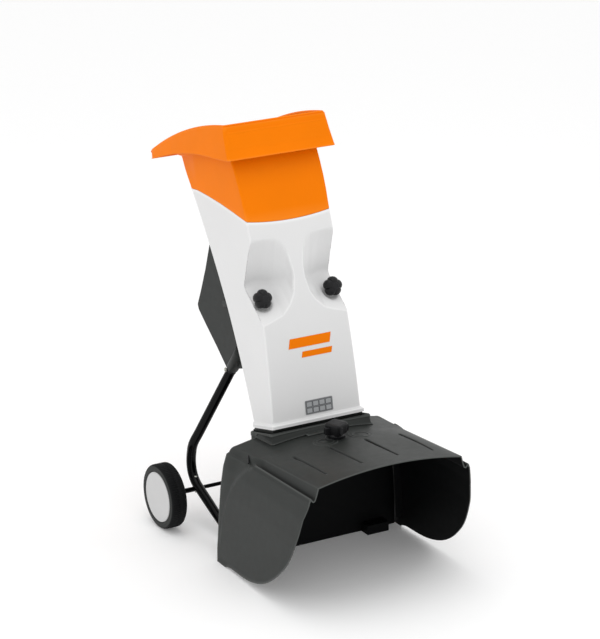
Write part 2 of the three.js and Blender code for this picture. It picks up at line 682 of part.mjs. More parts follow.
function coolingFan() {
  let fan = turned([
    [SHAFT_BORE_R, 384], [46, 384], [46, 387], [16, 387], [16, 400], [SHAFT_BORE_R, 400],
  ], 20);
  for (let i = 0; i < 8; i++) {
    fan = fan.add(toSolid(boxGeometry(14, 45, 386, 398, -1, 1).rotateY(i * Math.PI / 4)));
  }
  return fan;
}
put("cooling_fan", coolingFan(), BLACK, rotorAxis);

const BLADE_ANGLES = [0, Math.PI];
const bladeScrews = (angle) => BLADE_SCREW_RADII.map((radius) =>
  [radius * Math.cos(angle), -radius * Math.sin(angle)]);
const discScrews = BLADE_ANGLES.flatMap(bladeScrews);
const bladeHoles = (places) => places.map(([x, z]) => cylY(2.8, 170, 205, x, z, 12));

const cuttingDisc = cut(
  turned([[4.6, 190], [DISC_R, 190], [DISC_R, 198], [4.6, 198]], 28),
  ...BLADE_ANGLES.map((angle) => toSolid(boxGeometry(36, 84, 180, 205, 13.5, 30).rotateY(angle))),
  ...bladeHoles(discScrews));
put("cutting_disc", cuttingDisc, STEEL, rotorAxis);
BLADE_ANGLES.forEach((angle, i) => {
  const blade = toSolid(boxGeometry(38, 84, 186.2, 189.7, -10, 13).rotateY(angle));
  const drilled = cut(blade, ...bladeHoles(bladeScrews(angle)));
  put("reversible_blade_" + (i + 1), drilled, ZINC, rotorAxis);
});
discScrews.forEach(([x, z], i) => {
  const screw = turned([
    [0, 184], [4.6, 184], [4.6, 186], [2.5, 186], [2.5, 197.6], [0, 197.6],
  ], 8);
  put("blade_screw_" + (i + 1), moved(screw, x, 0, z), STEEL, rotorAxis);
});
const discBolt = turned([
  [0, 182], [11, 182], [11, 189.7], [4.1, 189.7], [4.1, 222], [0, 222],
], 16);
put("disc_bolt", discBolt, ZINC, rotorAxis);

// fixed at the upper rim of the pan; the turning blades pass behind its inner edge
const counterBlade = box(-25, 25, 182.5, 185.95, ROTOR_Z + 80.5, ROTOR_Z + 103);
put("counter_blade", counterBlade, ZINC, tilt);
put("run_capacitor", cylX(17, -77, -3, 330, -40, 24), ALU, tilt);

// ================= clamp knobs: lobed grips on long captive bolts =================
function clampKnob() {
  const grip = lobedGrip({
    radius: 27, lobes: 5, notch: 6, sharpness: 0.55, start: Math.PI / 2, steps: 30,
    depth: 22, chamfer: 4, swell: 3,
  });
  grip.rotateX(Math.PI / 2); // the grip now runs along -Y
  grip.translate(0, KNOB_SEAT_Y - 8, 0);
  const collar = cylY(14, KNOB_SEAT_Y - 6, KNOB_SEAT_Y - 0.4, 0, 0, 24);
  return cut(toSolid(grip).add(collar), cylY(KNOB_BOLT_R + 0.3, 20, 60, 0, 0, 20));
}
for (const [side, name] of SIDES) {
  const knobAxis = frameAt(side * KNOB_X, 0, KNOB_Z);
  tilt.add(knobAxis);
  const washer = turned([[5.35, 208], [9, 208], [9, 210], [5.35, 210]], 20);
  put("clamp_knob_" + name, clampKnob(), BLACK, knobAxis);
  put("clamp_bolt_" + name, cylY(KNOB_BOLT_R, 20.5, 256, 0, 0, 20), STEEL, knobAxis);
  put("captive_washer_" + name, washer, STEEL, knobAxis);
}

// ================= hood skin, shared with the outlet frame that sits on it =================
const HOOD_MID_Y = -100;
const alongHood = (y) => (y - HOOD_FRONT_Y) / (HOOD_REAR_Y - HOOD_FRONT_Y);
const crown = (y) => 418 - 38 * alongHood(y);
function hoodSection(y, inset) {
  const t = alongHood(y);
  const top = crown(y);
  // right half, [x, z] from the foot up over the shoulder to the crown
  const half = [
    [315 - 10 * t, -10], [314 - 9.5 * t, 40], [309 - 5 * t, 80], [300, 150],
    [292 + 2 * t, 232], [281 + 3 * t, 300], [271 + t, 338],
    [265 - 2 * t, top - 55 + 20 * t], [252 - 4 * t, top - 47 + 20 * t],
    [238, top - 25], [160, top - 11.3], [80, top - 2.8], [0.001, top],
  ];
  const last = half.length - 1;
  const right = half.map(([x, z], i) => {
    if (i === last) return [0.001, y, z - inset];
    const before = half[Math.max(0, i - 1)];
    const after = half[i + 1];
    const alongX = after[0] - before[0];
    const alongZ = after[1] - before[1];
    const length = Math.hypot(alongX, alongZ);
    return [x - alongZ / length * inset, y, z + alongX / length * inset];
  });
  return [...right, ...right.map(([x, , z]) => [-x, y, z]).reverse()];
}
const hoodLoft = (stations, inset) => loft(stations.map((y) => hoodSection(y, inset)));

// ================= outlet frame =================
function outletFrame() {
  const ring = loft([
    plan(168, -20, 118, 6, 12, 370),
    plan(170, -8.3, 118, 6, 12, rimPlane(402.5)),
  ]);
  const seatRing = loft([
    plan(152, 3, 124, 5, 10, 370),
    plan(150, 4.5, 125, 5, 10, rimPlane(411.6)),
  ]);
  const flange = prismX([[-42, 380], [-42, crown(-42) + 3.6], [-15, 393], [-15, 380]], -60, 60);
  // rear upright, a ribbed plate just behind the column
  const upright = tilted(wallPlate([-318, -270, -220, -170, -123.2], 1.6, 8, 86));
  const ribOutline = [
    behind(6, -318), behind(6, -240), [rearWall(-170) + 6, -164], behind(20, -240),
    behind(24, -318),
  ];
  const ribs = [-80, 0, 80].map((x) => tilted(prismX(ribOutline, x - 2, x + 2)));
  // chip chute through the hood's mouth
  const chute = cut(
    prismX([[-14, 380], [-14, 330], [44, 314], [60, 324], [132, 366], [132, 371], [118, 374]],
      -149, 149),
    prismX([[-10, 420], [-10, 300], [41, 300], [41, 318.5], [58, 329], [128, 370], [124, 420]],
      -144, 144));
  let frame = join(ring, seatRing, flange, upright, ...ribs, chute);
  // passage for the chips
  frame = cut(frame,
    loft([372, 430].map((z) => plan(141, 12, 114, 5, 8, z))),
    box(-141, 141, -8, 40, 300, 386));
  // the underside follows the hood's top, except within the mouth
  const hoodClearance = hoodLoft([HOOD_FRONT_Y - 1, HOOD_MID_Y, HOOD_REAR_Y + 1], -0.6);
  frame = cut(frame, hoodClearance.subtract(box(-151.5, 151.5, -17.5, 130, 200, 500)));
  // tongue for the latch, a slotted plate under the hood's top, and the web that carries it
  const slotR = 7;
  const slotEnd = LATCH_Y + slotR;
  const tongue = cut(
    box(-25, 25, -116, -9, 371, 377),
    box(-slotR, slotR, -140, slotEnd, 360, 390),
    cylZ(slotR, 360, 390, 0, slotEnd, 24));
  frame = join(frame, tongue, box(-25, 25, -14, -9, 371, 390));
  frame = cut(frame, ...RIGHT_LEFT.map((side) => tilted(supportScrewHole(side))));
  return largest(frame.subtract(box(-300, 300, -200, 60, 0, 312)));
}
put("outlet_frame", outletFrame(), GREY);

for (const [side, name] of SIDES) {
  const wall = rearWall(SUPPORT_SCREW_Z);
  const screw = turned([
    [0, wall + 2.2], [2.5, wall + 2.2], [2.5, wall + 15.6],
    [5, wall + 15.6], [5, wall + 18.4], [0, wall + 18.4],
  ], 12);
  const placed = moved(screw, side * SUPPORT_SCREW_X, 0, SUPPORT_SCREW_Z);
  put("support_screw_" + name, placed, STEEL, tilt);
}

// ================= discharge hood =================
// [y, z] side outline of the wings and feet
const HOOD_SIDE = [
  [-400, 460], [-400, 362], [-398, 352], [-386, 296], [-371, 232], [-332, 147], [-290, 96],
  [-243, 60], [-193, 34], [-131, 17], [-83, 12], [-35, 11], [-4, 10], [24, 0.3], [24, 0],
  [75, 0], [75, 460],
];
function dischargeHood() {
  const outer = hoodLoft([HOOD_FRONT_Y, HOOD_MID_Y, HOOD_REAR_Y], 0);
  const inner = hoodLoft([HOOD_FRONT_Y - 10, HOOD_MID_Y, HOOD_REAR_Y + 5], WALL);
  const backWall = hoodLoft([50, 54], 2);
  const feet = RIGHT_LEFT.map((side) => box(...sideSpan(side, 179, 253), 12, 52, 0, 30));
  // stiffening ribs inside the side walls
  const ribs = RIGHT_LEFT.map((side) =>
    box(...sideSpan(side, 262, 292), 6, 10, 60, 300).intersect(outer));
  let hood = join(cut(outer, inner), backWall, ...feet, ...ribs)
    .intersect(prismX(HOOD_SIDE, -400, 400));
  // mouth under the outlet frame
  hood = cut(hood, box(-153, 153, -19, 90, 311, 460));
  // sockets for the tube feet, open downwards
  const socketR = TUBE_R + 1;
  for (const side of RIGHT_LEFT) {
    const x = side * TUBE_X;
    hood = cut(hood, cylY(socketR, 15, 90, x, TUBE_FOOT_Z, 24),
      box(x - socketR, x + socketR, 15, 90, -20, TUBE_FOOT_Z));
  }
  // latch boss and bore
  hood = hood.add(cylZ(33, crown(LATCH_Y) - 3, crown(LATCH_Y) + 2.2, 0, LATCH_Y, 20));
  return largest(cut(hood, cylZ(5.6, 350, 450, 0, LATCH_Y, 20)));
}
put("discharge_hood", dischargeHood(), GREY);

// quarter-turn latch: four-lobed grip, spindle and cam
const LATCH_BASE_Z = crown(LATCH_Y) + 2.6;
function latchKnob() {
  const grip = lobedGrip({
    radius: 28, lobes: 4, notch: 3.5, sharpness: 0.6, start: 0, steps: 24,
    depth: 30, chamfer: 3, swell: 2.5,
  });
  grip.translate(0, LATCH_Y, crown(LATCH_Y) + 10);
  const collar = cylZ(25, LATCH_BASE_Z, LATCH_BASE_Z + 12, 0, LATCH_Y, 28);
  const bore = cylZ(5.2, LATCH_BASE_Z - 5, LATCH_BASE_Z + 24, 0, LATCH_Y, 20);
  return cut(toSolid(grip).add(collar), bore);
}
put("latch_knob", latchKnob(), BLACK);
const latchCam = join(
  cylZ(4.9, 362, LATCH_BASE_Z + 23.6, 0, LATCH_Y, 20),
  box(-19, 19, LATCH_Y - 5.5, LATCH_Y + 5.5, 362, 368.5));
put("latch_cam", latchCam, STEEL);

// ================= frame tubes and axle =================
// [y, z] of the tube's centre line from the front foot up to the bend behind the axle
const TUBE_LOWER_RUN = [
  [20, TUBE_FOOT_Z], [85, TUBE_FOOT_Z], [112, 15], [140, 23], [247, 64], [307, 89], [350, 107],
  [382, 123], [402, 146], [410, 175], [408, 205],
];
function frameTube(side) {
  const upperRun = [0, 0.12, 0.5, 1].map((t) =>
    TUBE_KINK.map((start, axis) => lerp(start, TUBE_TOP[axis], t)));
  const points = [...TUBE_LOWER_RUN.map(([y, z]) => [TUBE_X, y, z]), ...upperRun]
    .map(([x, y, z]) => new THREE.Vector3(side * x, y, z));
  const circle = new THREE.Shape();
  circle.absarc(0, 0, TUBE_R, 0, Math.PI * 2);
  const tube = toSolid(new THREE.ExtrudeGeometry(circle, {
    steps: 22, curveSegments: 5, bevelEnabled: false,
    extrudePath: new THREE.CatmullRomCurve3(points, false, "centripetal"),
  }));
  return cut(tube,
    cylX(AXLE_R + 0.35, -400, 400, AXLE_Y, AXLE_Z, 20),
    cylX(SOCKET_SCREW_HOLE_R, -160, 160, SOCKET_SCREW_Y, SOCKET_SCREW_Z, 14),
    cylZ(AXLE_BOLT_HOLE_R, 60, 160, side * TUBE_X, AXLE_Y, 14),
    cylZ(5.4, 138.6, 170, side * TUBE_X, AXLE_Y, 16)); // room for the bolt head
}
for (const [side, name] of SIDES) put("frame_tube_" + name, frameTube(side), TUBE);

const axle = cut(
  cylX(AXLE_R, -338, 338, AXLE_Y, AXLE_Z, 20),
  ...RIGHT_LEFT.map((side) => cylZ(AXLE_BOLT_HOLE_R, 60, 140, side * TUBE_X, AXLE_Y, 14)));
put("axle", axle, TUBE);

// ================= fasteners and wheels =================
function axleBolt(side) {
  const bolt = turned([
    [0, 88], [2.4, 88], [2.4, 138.9], [5, 138.9], [5, 141.5], [3, 143], [0, 143],
  ], 12);
  return edited(bolt, (geometry) =>
    geometry.rotateX(Math.PI / 2).translate(side * TUBE_X, AXLE_Y, 0));
}
function tubeScrew(side) {
  const [tip, neck, head] = [-15, 20.8, 23.6].map((offset) => SOCKET_SCREW_TUBE_X + offset);
  const screw = turned([[0, tip], [2.6, tip], [2.6, neck], [5, neck], [5, head], [0, head]], 12);
  return edited(screw, (geometry) =>
    geometry.rotateZ(-side * Math.PI / 2).translate(0, SOCKET_SCREW_Y, SOCKET_SCREW_Z));
}

// name, material, segments, [radius, distance outwards from the wheel's inner face]
const WHEEL_PIECES = [
  ["tyre_", TYRE, 24, [
    [80, 1], [90, 0], [97, 3], [WHEEL_R, 10], [WHEEL_R, 40], [97, 47], [90, WHEEL_W], [80, 49],
  ]],
  ["wheel_hub_", CAP, 24, [
    [AXLE_R + 0.3, -3], [16, -3], [16, 10], [79.7, 10], [79.7, 43], [75, 43], [75, 18],
    [16, 18], [16, 38], [AXLE_R + 0.3, 38],
  ]],
  ["wheel_cap_", CAP, 24, [
    [0, 45], [74, 45], [79.6, 43.4], [79.6, 47.5], [77, WHEEL_W - 0.3], [0, WHEEL_W + 0.1],
  ]],
  ["axle_nut_", STEEL, 16, [
    [AXLE_R + 0.3, 38.5], [10, 38.5], [10, 42], [AXLE_R + 0.3, 42],
  ]],
];
for (const [side, name] of SIDES) {
  put("axle_bolt_" + name, axleBolt(side), ZINC);
  put("tube_screw_" + name, tubeScrew(side), ZINC);
  const wheel = frameAt(0, AXLE_Y, AXLE_Z);
  root.add(wheel);
  for (const [piece, material, segments, profile] of WHEEL_PIECES) {
    const body = edited(turned(profile, segments), (geometry) =>
      geometry.rotateZ(-side * Math.PI / 2).translate(side * (WHEEL_X - WHEEL_W / 2), 0, 0));
    put(piece + name, body, material, wheel);
  }
}

export default root;
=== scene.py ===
# Electric garden shredder: a white column with an orange hopper on top, a dark discharge hood
# below, a motor housing behind, and a tube frame on two wheels. It stands on z = 0, its front
# faces -Y and its left side is -X. Shapes are laid out in millimetres and built in metres.
import bpy, bmesh, math
import numpy as np
from mathutils import Vector, Matrix


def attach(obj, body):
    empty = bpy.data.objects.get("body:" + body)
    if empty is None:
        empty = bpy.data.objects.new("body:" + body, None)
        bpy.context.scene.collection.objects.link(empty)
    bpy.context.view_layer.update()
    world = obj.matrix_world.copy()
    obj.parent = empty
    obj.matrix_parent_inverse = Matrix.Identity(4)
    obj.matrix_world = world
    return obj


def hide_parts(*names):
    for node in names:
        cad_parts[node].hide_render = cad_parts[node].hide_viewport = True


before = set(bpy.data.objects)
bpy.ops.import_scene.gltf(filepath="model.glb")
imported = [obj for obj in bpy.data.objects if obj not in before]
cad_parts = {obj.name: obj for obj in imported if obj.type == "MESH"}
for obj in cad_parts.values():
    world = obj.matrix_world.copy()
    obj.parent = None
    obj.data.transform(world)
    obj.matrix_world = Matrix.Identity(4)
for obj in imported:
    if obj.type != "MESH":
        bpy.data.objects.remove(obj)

bpy.context.view_layer.update()

SIDES = ((-1, "left"), (1, "right"))

# ------------------------------------------------------------------ frames and curves
LAYOUT_Y = -157.5  # scene y of the layout's y = 0

# Tilted frame of the column front: v runs back and slightly down, u up and slightly back.
TILT = math.radians(-19.51)
TILT_COS, TILT_SIN = math.cos(TILT), math.sin(TILT)
TILT_Y, TILT_Z = 78, 706


def to_scene(points):
    """Layout millimetres to scene metres."""
    moved = np.array(points, float)
    moved[..., 1] += LAYOUT_Y
    return moved / 1000.0


def tilt(x, v, u):
    """Layout point of a point in the tilted frame."""
    return (x, TILT_Y + TILT_COS * v - TILT_SIN * u, TILT_Z + TILT_SIN * v + TILT_COS * u)


def tilt_yz(v, u):
    return tilt(0, v, u)[1:]


def untilt(y, z):
    """(v, u) of a layout point."""
    y, z = y - TILT_Y, z - TILT_Z
    return TILT_COS * y + TILT_SIN * z, -TILT_SIN * y + TILT_COS * z


def table(rows, key):
    """Straight-line lookup in (key, value) rows."""
    return np.interp(key, [row[0] for row in rows], [row[1] for row in rows])


def lerp(a, b, t):
    return a + (b - a) * t


def smooth_step(a, b, x):
    t = np.clip((np.asarray(x, float) - a) / (b - a), 0, 1)
    return t * t * (3 - 2 * t)


def soft_max(a, b, blend):
    h = np.maximum(blend - np.abs(a - b), 0) / blend
    return np.maximum(a, b) + h * h * blend * 0.25


def soft_min(a, b, blend):
    return -soft_max(-a, -b, blend)


def spline(points, steps):
    """Centripetal Catmull-Rom curve through points, with steps samples to a span."""
    def mix(p, q, t_p, t_q, t):
        return p * ((t_q - t) / (t_q - t_p)) + q * ((t - t_p) / (t_q - t_p))

    chain = [points[0] * 2 - points[1], *points, points[-1] * 2 - points[-2]]
    curve = []
    for i in range(len(points) - 1):
        group = chain[i:i + 4]
        knots = [0.0]
        for p, q in zip(group, group[1:]):
            knots.append(knots[-1] + float(np.linalg.norm(q - p)) ** 0.5)
        for k in range(steps):
            t = knots[1] + (knots[2] - knots[1]) * k / steps
            level = group
            for reach in (1, 2):
                level = [mix(level[j], level[j + 1], knots[j], knots[j + reach], t)
                         for j in range(len(level) - 1)]
            curve.append(mix(*level, knots[1], knots[2], t))
    curve.append(points[-1])
    return curve


# ------------------------------------------------------------------ mesh helpers
def new_obj(name, verts, faces, smooth=True):
    """Object from vertices in metres."""
    mesh = bpy.data.meshes.new(name)
    mesh.from_pydata([tuple(v) for v in verts], [], faces)
    mesh.validate(clean_customdata=False)
    o = bpy.data.objects.new(name, mesh)
    bpy.context.scene.collection.objects.link(o)
    if smooth:
        mesh.polygons.foreach_set("use_smooth", [True] * len(mesh.polygons))
    return o


def grid_faces(m, n, wrap_rows=False, wrap_cols=False, caps=False):
    """Quads over m rows of n points; caps close the first and last rows."""
    faces = []
    for i in range(m if wrap_rows else m - 1):
        a, b = i * n, ((i + 1) % m) * n
        for j in range(n if wrap_cols else n - 1):
            k = (j + 1) % n
            faces.append((a + j, a + k, b + k, b + j))
    if caps:
        faces.append(tuple(range(n))[::-1])
        faces.append(tuple((m - 1) * n + j for j in range(n)))
    return faces


def grid(name, rows, flip=False, **joins):
    """Surface over rows x columns of layout points."""
    rows = np.asarray(rows, float)
    faces = grid_faces(*rows.shape[:2], **joins)
    if flip:
        faces = [face[::-1] for face in faces]
    return new_obj(name, to_scene(rows).reshape(-1, 3), faces)


def clean(o, dist, sharp=None, recalc=True):
    """Merge vertices closer than dist metres; mark edges over sharp degrees as sharp."""
    bm = bmesh.new()
    bm.from_mesh(o.data)
    bmesh.ops.remove_doubles(bm, verts=bm.verts, dist=dist)
    bmesh.ops.dissolve_degenerate(bm, edges=bm.edges, dist=dist * 0.5)
    if recalc:
        bmesh.ops.recalc_face_normals(bm, faces=bm.faces)
    if sharp:
        for edge in bm.edges:
            if len(edge.link_faces) == 2:
                edge.smooth = edge.calc_face_angle(0) < math.radians(sharp)
    bm.to_mesh(o.data)
    bm.free()
    return o


def apply_mods(o):
    bpy.context.view_layer.update()
    depsgraph = bpy.context.evaluated_depsgraph_get()
    mesh = bpy.data.meshes.new_from_object(o.evaluated_get(depsgraph))
    o.modifiers.clear()
    o.data = mesh


def mod(o, kind, **settings):
    modifier = o.modifiers.new(kind.lower(), kind)
    for key, value in settings.items():
        setattr(modifier, key, value)
    return modifier


def weight_normals(o):
    mod(o, "WEIGHTED_NORMAL", keep_sharp=True)


def cut(o, tool):
    """Subtract tool from o and delete the tool."""
    # The manifold solver leaves the mesh unchanged or empty if it fails; then the exact one runs.
    for solver in ("MANIFOLD", "EXACT"):
        boolean = mod(o, "BOOLEAN", object=tool, operation="DIFFERENCE", solver=solver)
        bpy.context.view_layer.update()
        result = o.evaluated_get(bpy.context.evaluated_depsgraph_get())
        if len(result.data.polygons) not in (0, len(o.data.polygons)):
            apply_mods(o)
            break
        o.modifiers.remove(boolean)
    bpy.data.objects.remove(tool)


def round_tool(p, q, radius, segments=48):
    """Cylinder between two layout points, for cutting."""
    p, q = Vector(to_scene(p)), Vector(to_scene(q))
    d = q - p
    bm = bmesh.new()
    bmesh.ops.create_cone(bm, cap_ends=True, segments=segments, radius1=radius / 1000,
                          radius2=radius / 1000, depth=d.length)
    turn = d.to_track_quat("Z", "Y").to_matrix().to_4x4()
    bmesh.ops.transform(bm, matrix=Matrix.Translation((p + q) / 2) @ turn, verts=bm.verts)
    mesh = bpy.data.meshes.new("tool")
    bm.to_mesh(mesh)
    bm.free()
    o = bpy.data.objects.new("tool", mesh)
    bpy.context.scene.collection.objects.link(o)
    for face in mesh.polygons:
        face.use_smooth = len(face.vertices) == 4
    return o


def box(name, x0, x1, y0, y1, z0, z1, place=lambda *point: point):
    corners = [place(x, y, z) for x in sorted((x0, x1)) for y in (y0, y1) for z in (z0, z1)]
    faces = [(0, 1, 3, 2), (4, 6, 7, 5), (0, 4, 5, 1), (2, 3, 7, 6), (0, 2, 6, 4), (1, 5, 7, 3)]
    return new_obj(name, to_scene(corners), faces)


def lathe(name, profile, origin, axis, segments=96, shape=None, sharp=35):
    """Turn a closed loop of (radius, height) about axis; shape(r, h, angles) varies the radius."""
    axis = Vector(axis).normalized()
    e1 = axis.orthogonal().normalized()
    e2 = axis.cross(e1)
    angles = np.linspace(0, 2 * math.pi, segments, endpoint=False)
    rows = []
    for r, h in np.asarray(profile, float):
        radii = shape(r, h, angles) if shape else np.full(segments, r)
        rows.append(np.array(origin)[None] + np.outer(radii * np.cos(angles), e1)
                    + np.outer(radii * np.sin(angles), e2) + np.array(axis)[None] * h)
    return clean(grid(name, rows, wrap_rows=True, wrap_cols=True), 1e-6, sharp)


def prism(name, outline, x0, x1):
    """(y, z) outline carried along X."""
    rows = [[(x, y, z) for y, z in outline] for x in sorted((x0, x1))]
    return clean(grid(name, rows, wrap_cols=True, caps=True), 1e-6, 30)


def sweep(name, points, radius, segments, steps=6):
    """Tube along a spline; radius is a number or a function of the centre in metres."""
    path = spline([Vector(to_scene(p)) for p in points], steps)
    up = Vector((1, 0, 0))
    verts = []
    for i, centre in enumerate(path):
        d = (path[min(i + 1, len(path) - 1)] - path[max(i - 1, 0)]).normalized()
        e1 = (up - d * up.dot(d)).normalized()
        e2 = d.cross(e1)
        r = radius(centre) if callable(radius) else radius
        for k in range(segments):
            a = 2 * math.pi * k / segments
            verts.append(centre + (e1 * math.cos(a) + e2 * math.sin(a)) * (r / 1000))
    faces = grid_faces(len(path), segments, wrap_cols=True, caps=True)
    return clean(new_obj(name, verts, faces), 1e-6, 40)


# ------------------------------------------------------------------ materials
MATERIALS = {}


def srgb(*rgb):
    """0-255 sRGB to linear RGBA."""
    def linear(c):
        c = c / 255
        return c / 12.92 if c <= 0.04045 else ((c + 0.055) / 1.055) ** 2.4
    return (*map(linear, rgb), 1.0)


def new_material(name):
    material = bpy.data.materials.new(name)
    material.use_nodes = True
    tree = material.node_tree
    return material, tree, tree.nodes["Principled BSDF"]


def set_inputs(tree, node, inputs):
    """Link the inputs given as sockets and set the rest."""
    for key, value in inputs.items():
        if isinstance(value, bpy.types.NodeSocket):
            tree.links.new(value, node.inputs[key])
        else:
            node.inputs[key].default_value = value


def add_node(tree, kind, inputs, **settings):
    node = tree.nodes.new("ShaderNode" + kind)
    for key, value in settings.items():
        setattr(node, key, value)
    set_inputs(tree, node, inputs)
    return node


def noise(tree, vector, scale, **inputs):
    return add_node(tree, "TexNoise", {"Vector": vector, "Scale": scale, **inputs}).outputs["Fac"]


def map_range(tree, value, to_min, to_max, from_min=0.0, from_max=1.0):
    return add_node(tree, "MapRange", {
        "Value": value, "From Min": from_min, "From Max": from_max,
        "To Min": to_min, "To Max": to_max}).outputs["Result"]


def mix_colour(tree, a, b, factor=1.0, blend="MULTIPLY"):
    node = add_node(tree, "Mix", {"Factor": factor, "A": a, "B": b},
                    data_type="RGBA", blend_type=blend)
    return node.outputs["Result"]


def bump_normal(tree, height, strength, distance):
    return add_node(tree, "Bump", {"Height": height, "Strength": strength,
                                   "Distance": distance}).outputs["Normal"]


def plastic(name, colour, rough, bump, blotch, grain=900.0, drift=0.05, spec=0.5, rough_drift=0.06,
            edge=None, hollows=None):
    """Moulded plastic with slow colour drift (scale blotch) and a fine bumpy grain.

    edge: painted highlight along sharp edges, (strength, colour, pointiness where it starts,
    pointiness where it is full).
    hollows: painted shade in hollows from ambient occlusion, (reach in metres, how much darker,
    occlusion value that is darkest).
    """
    material, tree, shader = new_material(name)
    at = tree.nodes.new("ShaderNodeTexCoord").outputs["Object"]
    tint = map_range(tree, noise(tree, at, blotch, Detail=4), 1 - drift, 1 + drift, 0.3, 0.7)
    out = mix_colour(tree, srgb(*colour), tint)
    # painted highlight: base colour mixed towards a lighter colour where pointiness is high
    if edge:
        strength, painted_highlight_colour, start, full = edge
        pointiness = tree.nodes.new("ShaderNodeNewGeometry").outputs["Pointiness"]
        painted_highlight = map_range(tree, pointiness, 0.0, strength, start, full)
        out = mix_colour(tree, out, srgb(*painted_highlight_colour), painted_highlight, "MIX")
    # painted shade: base colour darkened where ambient occlusion finds hollows
    if hollows:
        reach, darker, darkest_at = hollows
        occlusion = add_node(tree, "AmbientOcclusion", {"Distance": reach}, samples=8)
        shade = map_range(tree, occlusion.outputs["AO"], 1 - darker, 1.0, darkest_at)
        out = mix_colour(tree, out, shade)
    grain_height = noise(tree, at, grain, Detail=3, Roughness=0.6)
    set_inputs(tree, shader, {
        "Base Color": out,
        "Normal": bump_normal(tree, grain_height, strength=bump, distance=0.0006),
        "Roughness": map_range(tree, noise(tree, at, blotch * 5, Detail=5),
                               rough - rough_drift, rough + rough_drift),
        "Specular IOR Level": spec,
    })
    MATERIALS[name] = material


def metal(name, colour, rough=0.3, brush=(400, 20, 400), bump=0.03, drift=0.12):
    """Metal whose marks follow a noise stretched by the brush scale."""
    material, tree, shader = new_material(name)
    at = tree.nodes.new("ShaderNodeTexCoord").outputs["Object"]
    stretched = add_node(tree, "Mapping", {"Vector": at, "Scale": brush}).outputs["Vector"]
    marks = noise(tree, stretched, 1.0, Detail=6)
    roughness = map_range(tree, marks, rough - 0.1, rough + 0.12)
    tint = map_range(tree, marks, 1 - drift, 1 + drift)
    set_inputs(tree, shader, {
        "Roughness": roughness,
        "Base Color": mix_colour(tree, srgb(*colour), tint),
        "Metallic": 1.0,
        "Normal": bump_normal(tree, marks, strength=bump, distance=0.0005),
    })
    MATERIALS[name] = material


# edge= paints a lighter highlight along the sharp edges of these materials
plastic("orange_plastic", (241, 123, 0), rough=0.42, grain=1100, bump=0.05, drift=0.03, blotch=5,
        spec=0.05, edge=(0.4, (255, 160, 70), 0.52, 0.58))
plastic("stripe_print", (241, 122, 0), rough=0.45, grain=1100, bump=0.02, drift=0.02, blotch=5,
        spec=0.05)
# hollows= paints shade into the hollows of the white and grey plastics
plastic("white_plastic", (222, 222, 222), rough=0.38, grain=1300, bump=0.05, drift=0.012,
        blotch=5, spec=0.4, edge=(0.5, (246, 246, 246), 0.508, 0.54), hollows=(0.09, 0.22, 0.45))
plastic("grey_plastic", (38, 41, 39), rough=0.44, grain=700, bump=0.16, blotch=9,
        spec=0.22, edge=(0.5, (96, 99, 97), 0.512, 0.57), hollows=(0.024, 0.8, 0.3))
plastic("grey_plastic_shell", (31, 34, 32), rough=0.46, grain=700, bump=0.16, blotch=9,
        spec=0.2, edge=(0.3, (70, 73, 71), 0.53, 0.62), hollows=(0.03, 0.7, 0.3))
# darker copy of the grey plastic for inner faces and inside parts: painted shade
plastic("grey_plastic_inside_painted_shade", (8, 9, 10), rough=0.6, grain=700, bump=0.12, drift=0.06, blotch=9,
        spec=0.1)
plastic("black_plastic", (16, 16, 18), rough=0.4, bump=0.1, drift=0.08, blotch=12,
        spec=0.26, edge=(0.4, (48, 49, 52), 0.53, 0.62))
plastic("tube_paint", (6, 6, 7), rough=0.2, grain=260, bump=0.04, drift=0.1, blotch=14,
        spec=0.14, rough_drift=0.03)
plastic("tyre_rubber", (40, 42, 41), rough=0.62, grain=1500, bump=0.2, drift=0.1, blotch=18,
        spec=0.25, edge=(0.25, (64, 65, 65), 0.53, 0.62))
plastic("tyre_tread", (15, 16, 17), rough=0.7, grain=1500, bump=0.25, drift=0.12, blotch=18,
        spec=0.15)
plastic("cap_plastic", (199, 199, 199), rough=0.5, grain=1200, bump=0.08, drift=0.02, blotch=10,
        spec=0.35)
metal("machined_steel", (176, 178, 180))
metal("zinc_plate", (200, 200, 192), rough=0.28, brush=(160, 160, 160))
metal("laminated_iron", (92, 95, 98), rough=0.5, brush=(30, 1400, 30), bump=0.2)
metal("cast_aluminium", (172, 176, 178), rough=0.42, brush=(220, 220, 220), bump=0.12)
metal("copper_winding", (178, 96, 48), rough=0.35, brush=(900, 60, 900), bump=0.3)
plastic("curtain_rubber", (26, 26, 27), rough=0.8, grain=1200, bump=0.2, drift=0.1, blotch=20,
        spec=0.25)


def foil():
    """Part-metallic foil, kept in the palette beside the label's plain inks."""
    metal("label_foil", (158, 160, 162), rough=0.4, brush=(30, 30, 900), bump=0.02, drift=0.05)
    shader = MATERIALS["label_foil"].node_tree.nodes["Principled BSDF"]
    shader.inputs["Metallic"].default_value = 0.55


foil()
plastic("green_plastic", (28, 138, 58), rough=0.4, bump=0.06, blotch=30)
plastic("red_plastic", (190, 28, 22), rough=0.4, bump=0.06, blotch=30)
plastic("label_ink", (58, 60, 62), rough=0.5, bump=0.03, blotch=60)
plastic("label_plate", (120, 122, 124), rough=0.45, bump=0.03, blotch=60, spec=0.35)
plastic("label_field", (160, 162, 164), rough=0.45, bump=0.03, blotch=60, spec=0.35)


def set_material(o, material):
    o.data.materials.clear()
    o.data.materials.append(MATERIALS[material])


def finish(o, body, material, *replaces):
    if not o.data.materials:
        o.data.materials.append(MATERIALS[material])
    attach(o, body)
    if replaces:
        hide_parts(*replaces)


def finish_bevelled(o, width, segments, body, material, *replaces):
    """Round the edges of o by width mm, then finish it."""
    mod(o, "BEVEL", width=width / 1000, segments=segments, limit_method="ANGLE",
        angle_limit=math.radians(30), harden_normals=False, use_clamp_overlap=True)
    weight_normals(o)
    apply_mods(o)
    set_material(o, material)
    finish(o, body, material, *replaces)


